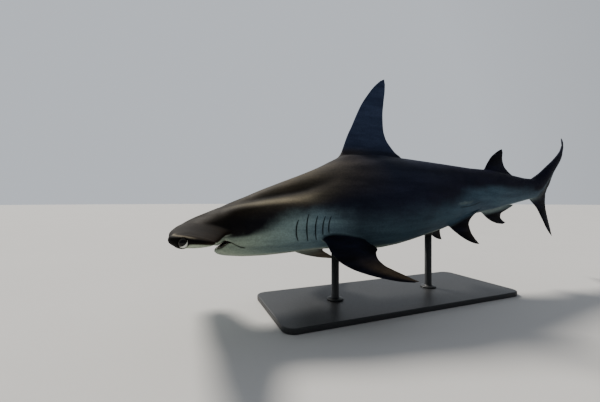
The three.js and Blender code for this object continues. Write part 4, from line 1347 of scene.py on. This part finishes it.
def tooth_row(name, front, reach, half_arc, spread, line, up):
    """Teeth along an arc, standing on a lip's line, upwards or downwards."""
    row = bmesh.new()
    for k in range(TEETH):
        angle = (k / (TEETH - 1) * 2 - 1) * half_arc
        station = front + reach * (1 - math.cos(angle))
        side = spread * math.sin(angle)
        gap = read(MOUTH_ROOF, station)[0] - read(JAW_RIM, station)[0]
        size = min(1, gap * TOOTH_SHARE / (TOOTH_HEIGHT - TOOTH_SUNK)) * LENGTH
        tooth = bmesh.ops.create_cone(
            row,
            cap_ends=True,
            segments=12,
            radius1=TOOTH_RADIUS * size,
            radius2=TOOTH_RADIUS * size * TOOTH_POINT,
            depth=TOOTH_HEIGHT * size,
        )["verts"]
        for vertex in tooth:
            rise = vertex.co.z / (TOOTH_HEIGHT * size) + 0.5
            vertex.co.x *= TOOTH_FLATNESS
            vertex.co.y += math.copysign(rise * rise * TOOTH_CURVE, angle) * size
            vertex.co.x += rise * TOOTH_LEAN * size
        bmesh.ops.rotate(row, verts=tooth, cent=(0, 0, 0), matrix=Matrix.Rotation(-angle, 3, "Z"))
        if up < 0:
            bmesh.ops.scale(row, vec=(1, 1, -1), verts=tooth)
        lift = up * (TOOTH_HEIGHT / 2 - TOOTH_SUNK) * size / LENGTH
        set_at(row, tooth, (station, side, read(line, station)[0] + lift))
    piece = new_piece(name, row)
    enamel.onto(piece)
    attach(piece, "root")


enamel = Finish("tooth_enamel")
stain = enamel.noise(160, 3)
enamel.two_tone(stain, (0.62, 0.58, 0.46, 1), (0.86, 0.84, 0.76, 1))
enamel.shader.inputs["Roughness"].default_value = 0.2
enamel.bump(enamel.noise(500, 2), 0.0002, 0.4)
tooth_row("teeth_lower", 0.0694, 0.024, 1.1, 0.0245, JAW_RIM, 1)
tooth_row("teeth_upper", 0.0702, 0.024, 1.1, 0.0262, MOUTH_ROOF, -1)

# The eyes
# A glassy ball with a wide dark pupil and a dull silver iris. A pale third
# lid rises over it from below and behind.
IRIS_EDGE, PUPIL_EDGE = math.radians(54), math.radians(40)
PUPIL_BLACK, BALL_DARK = (0.003, 0.003, 0.004, 1), (0.02, 0.018, 0.016, 1)
THIRD_LID_LIFT, WINDOW_SIZE, WINDOW_REACH, WINDOW_TILT = 1.035, 1.02, 0.4, 0.8
eye_glass = Finish("eye_glass")
gaze = eye_glass.told("gaze")
fibres = eye_glass.noise(420, 4)
iris = eye_glass.mix(fibres, (0.012, 0.01, 0.007, 1), (0.05, 0.042, 0.03, 1))
past_pupil = eye_glass.span(gaze, PUPIL_EDGE - 0.03, PUPIL_EDGE + 0.03)
past_iris = eye_glass.span(gaze, IRIS_EDGE - 0.04, IRIS_EDGE + 0.04)
eye_glass.two_tone(past_iris, eye_glass.mix(past_pupil, PUPIL_BLACK, iris), BALL_DARK)
eye_glass.shader.inputs["Roughness"].default_value = 0.06
eye_glass.shader.inputs["Specular IOR Level"].default_value = 0.2
eye_glass.bump(fibres, 0.0002, 0.15)
lid_skin = Finish("third_lid")
lid_cloud = lid_skin.noise(150, 3)
lid_skin.two_tone(lid_cloud, (0.74, 0.78, 0.7, 1), (0.9, 0.92, 0.86, 1))
lid_skin.shader.inputs["Roughness"].default_value = 0.35
lid_skin.bump(lid_cloud, 0.0003, 0.3)

for word, sign in (("left", 1), ("right", -1)):
    ball = bmesh.new()
    spot = (EYE_STATION, sign * EYE_SIDE, EYE_HEIGHT)
    ellipsoid(ball, (EYE_RADIUS, EYE_RADIUS, EYE_RADIUS), spot, 64, 40)
    centre = place(*spot)
    outward = spine_frame(EYE_STATION)[2] * sign
    lid_ball = ball.copy()
    piece = new_piece("eyeball_" + word, ball)
    off_gaze = [(v.co - centre).normalized().dot(outward) for v in piece.data.vertices]
    attribute(piece, "gaze", np.arccos(np.clip(off_gaze, -1, 1)))
    eye_glass.onto(piece)
    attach(piece, "root")
    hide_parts("eye_" + word)
    _, back, _, up = spine_frame(EYE_STATION)
    around_eye = Matrix.Translation(-centre)
    bmesh.ops.scale(lid_ball, vec=(THIRD_LID_LIFT,) * 3, space=around_eye, verts=lid_ball.verts[:])
    third = new_piece("third_lid_" + word, lid_ball)
    window = bmesh.new()
    window_radius = EYE_RADIUS * LENGTH * WINDOW_SIZE
    bmesh.ops.create_uvsphere(window, u_segments=48, v_segments=32, radius=window_radius)
    gap = ((up - back * WINDOW_TILT).normalized() + outward) * WINDOW_REACH
    bmesh.ops.translate(window, vec=centre + gap * EYE_RADIUS * LENGTH, verts=window.verts[:])
    work(third, new_piece("window", window), "DIFFERENCE")
    lid_skin.onto(third)
    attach(third, "root")

# The stand
# A thick steel plate with rounded corners and eased edges, painted charcoal,
# and two steel rods that rise from welded collars into the belly.
BASE_LONG, BASE_WIDE, BASE_THICK, BASE_CORNER, BASE_EASE = 1.5, 0.56, 0.028, 0.06, 0.005
ROD_RADIUS, COLLAR_RADIUS, COLLAR_HEIGHT = 0.021, 0.046, 0.014
PAD_RADIUS, PAD_DEPTH, PAD_EASE, ROD_SUNK = 0.027, 0.022, 0.002, 0.03
RODS = (("rod_front", "stand_rod_front", 0.255), ("rod_rear", "stand_rod_rear", 0.445))

paint = Finish("charcoal_paint")
peel = paint.noise(260, 3)
paint.two_tone(paint.noise(5, 4), (0.016, 0.017, 0.019, 1), (0.03, 0.032, 0.035, 1))
paint.put(paint.shader.inputs["Roughness"], paint.span(peel, 0.3, 0.7, 0.4, 0.52))
paint.shader.inputs["Metallic"].default_value = 0.2
paint.bump(peel, 0.0003, 0.35)

plate = bmesh.new()
bmesh.ops.create_cube(plate, size=1)
bmesh.ops.scale(plate, vec=(BASE_LONG, BASE_WIDE, BASE_THICK), verts=plate.verts[:])
upright = [e for e in plate.edges if abs(e.verts[0].co.z - e.verts[1].co.z) > 0.001]
bmesh.ops.bevel(
    plate, geom=upright, offset=BASE_CORNER, segments=12, profile=0.5, affect="EDGES", material=-1
)
flat = [f for f in plate.faces if abs(f.normal.z) > 0.9]
rims = list({e for f in flat for e in f.edges})
bmesh.ops.bevel(plate, geom=rims, offset=BASE_EASE, segments=4, profile=0.5, affect="EDGES", material=-1)
middle = (base_low + base_high) / 2
bmesh.ops.translate(plate, vec=(middle.x, middle.y, base_low.z + BASE_THICK / 2), verts=plate.verts[:])
base = new_piece("base_plate", plate)
ease = base.modifiers.new("weighted", "WEIGHTED_NORMAL")
ease.keep_sharp = False
paint.onto(base)
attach(base, "root")
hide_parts("stand_base")

rubber = Finish("black_rubber")
rubber_grain = rubber.noise(300, 3)
rubber.two_tone(rubber_grain, (0.008, 0.008, 0.008, 1), (0.02, 0.02, 0.02, 1))
rubber.shader.inputs["Roughness"].default_value = 0.75
rubber.bump(rubber_grain, 0.0003, 0.4)


def turned(name, profile, at, around=64):
    """A solid of revolution about an upright axis, from its outline."""
    bm = bmesh.new()
    points = [bm.verts.new((radius, 0, height)) for radius, height in profile]
    edges = [bm.edges.new(pair) for pair in zip(points, points[1:])]
    bmesh.ops.spin(
        bm, geom=points + edges, cent=(0, 0, 0), axis=(0, 0, 1), angle=math.tau, steps=around, use_merge=True
    )
    bmesh.ops.remove_doubles(bm, verts=bm.verts[:], dist=1e-6)
    bmesh.ops.translate(bm, vec=at, verts=bm.verts[:])
    return new_piece(name, bm)


for name, node, station in RODS:
    foot = place(station, 0, 0)
    belly_at = place(station, 0, read(TRUNK, station)[1]).z
    floor_at = base_low.z + BASE_THICK
    tall = belly_at + ROD_SUNK - floor_at
    outline = [
        (0, 0),
        (COLLAR_RADIUS, 0),
        (COLLAR_RADIUS, COLLAR_HEIGHT * 0.45),
        (COLLAR_RADIUS - 0.002, COLLAR_HEIGHT * 0.6),
        (ROD_RADIUS + 0.008, COLLAR_HEIGHT * 0.75),
        (ROD_RADIUS + 0.003, COLLAR_HEIGHT * 0.95),
        (ROD_RADIUS, COLLAR_HEIGHT * 1.3),
        (ROD_RADIUS, tall),
        (0, tall),
    ]
    rod = turned(name, outline, (foot.x, middle.y, floor_at))
    paint.onto(rod)
    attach(rod, "root")
    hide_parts(node)
    pad_inside, pad_top = ROD_RADIUS - PAD_EASE, PAD_DEPTH + ROD_SUNK
    pad_outline = [
        (pad_inside, 0),
        (PAD_RADIUS - PAD_EASE, 0),
        (PAD_RADIUS, PAD_EASE),
        (PAD_RADIUS, pad_top),
        (pad_inside, pad_top),
        (pad_inside, 0),
    ]
    pad = turned(name + "_pad", pad_outline, (foot.x, middle.y, belly_at - PAD_DEPTH))
    rubber.onto(pad)
    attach(pad, "root")

# The floor
# A wide plain pale floor that runs out to the horizon.
floor_shape = bmesh.new()
bmesh.ops.create_circle(floor_shape, cap_ends=True, segments=96, radius=60)
floor = new_piece("floor", floor_shape)
plaster = Finish("pale_floor")
plaster.two_tone(plaster.noise(0.8, 3), (0.6, 0.59, 0.58, 1), (0.64, 0.63, 0.62, 1))
plaster.put(plaster.shader.inputs["Roughness"], plaster.span(plaster.noise(40, 2), 0.3, 0.7, 0.85, 0.95))
plaster.onto(floor)

# The light
# A soft high key from the left behind the head, and a pale sky that is
# brightest behind the animal, so that its near side stays in shade.
world = bpy.data.worlds.new("world")
world.use_nodes = True
sky = world.node_tree.nodes
sky_links = world.node_tree.links
sky_place = sky.new("ShaderNodeTexCoord")
sky_parts = sky.new("ShaderNodeSeparateXYZ")
sky_ramp = sky.new("ShaderNodeMapRange")
for socket, value in zip(sky_ramp.inputs[1:5], (-0.5, 0.6, 0.24, 0.75)):
    socket.default_value = value
sky_links.new(sky_place.outputs["Generated"], sky_parts.inputs[0])
sky_links.new(sky_parts.outputs["Y"], sky_ramp.inputs[0])
sky["Background"].inputs["Color"].default_value = (0.8, 0.85, 0.92, 1)
sky_links.new(sky_ramp.outputs[0], sky["Background"].inputs["Strength"])
bpy.context.scene.world = world
key_data = bpy.data.lights.new("key", "SUN")
key_data.energy = 4.2
key_data.color = (1, 0.95, 0.86)
key_data.angle = math.radians(14)
key = bpy.data.objects.new("key", key_data)
key.rotation_euler = Vector((0.25, -0.59, -0.77)).to_track_quat("-Z", "Y").to_euler()
bpy.context.scene.collection.objects.link(key)
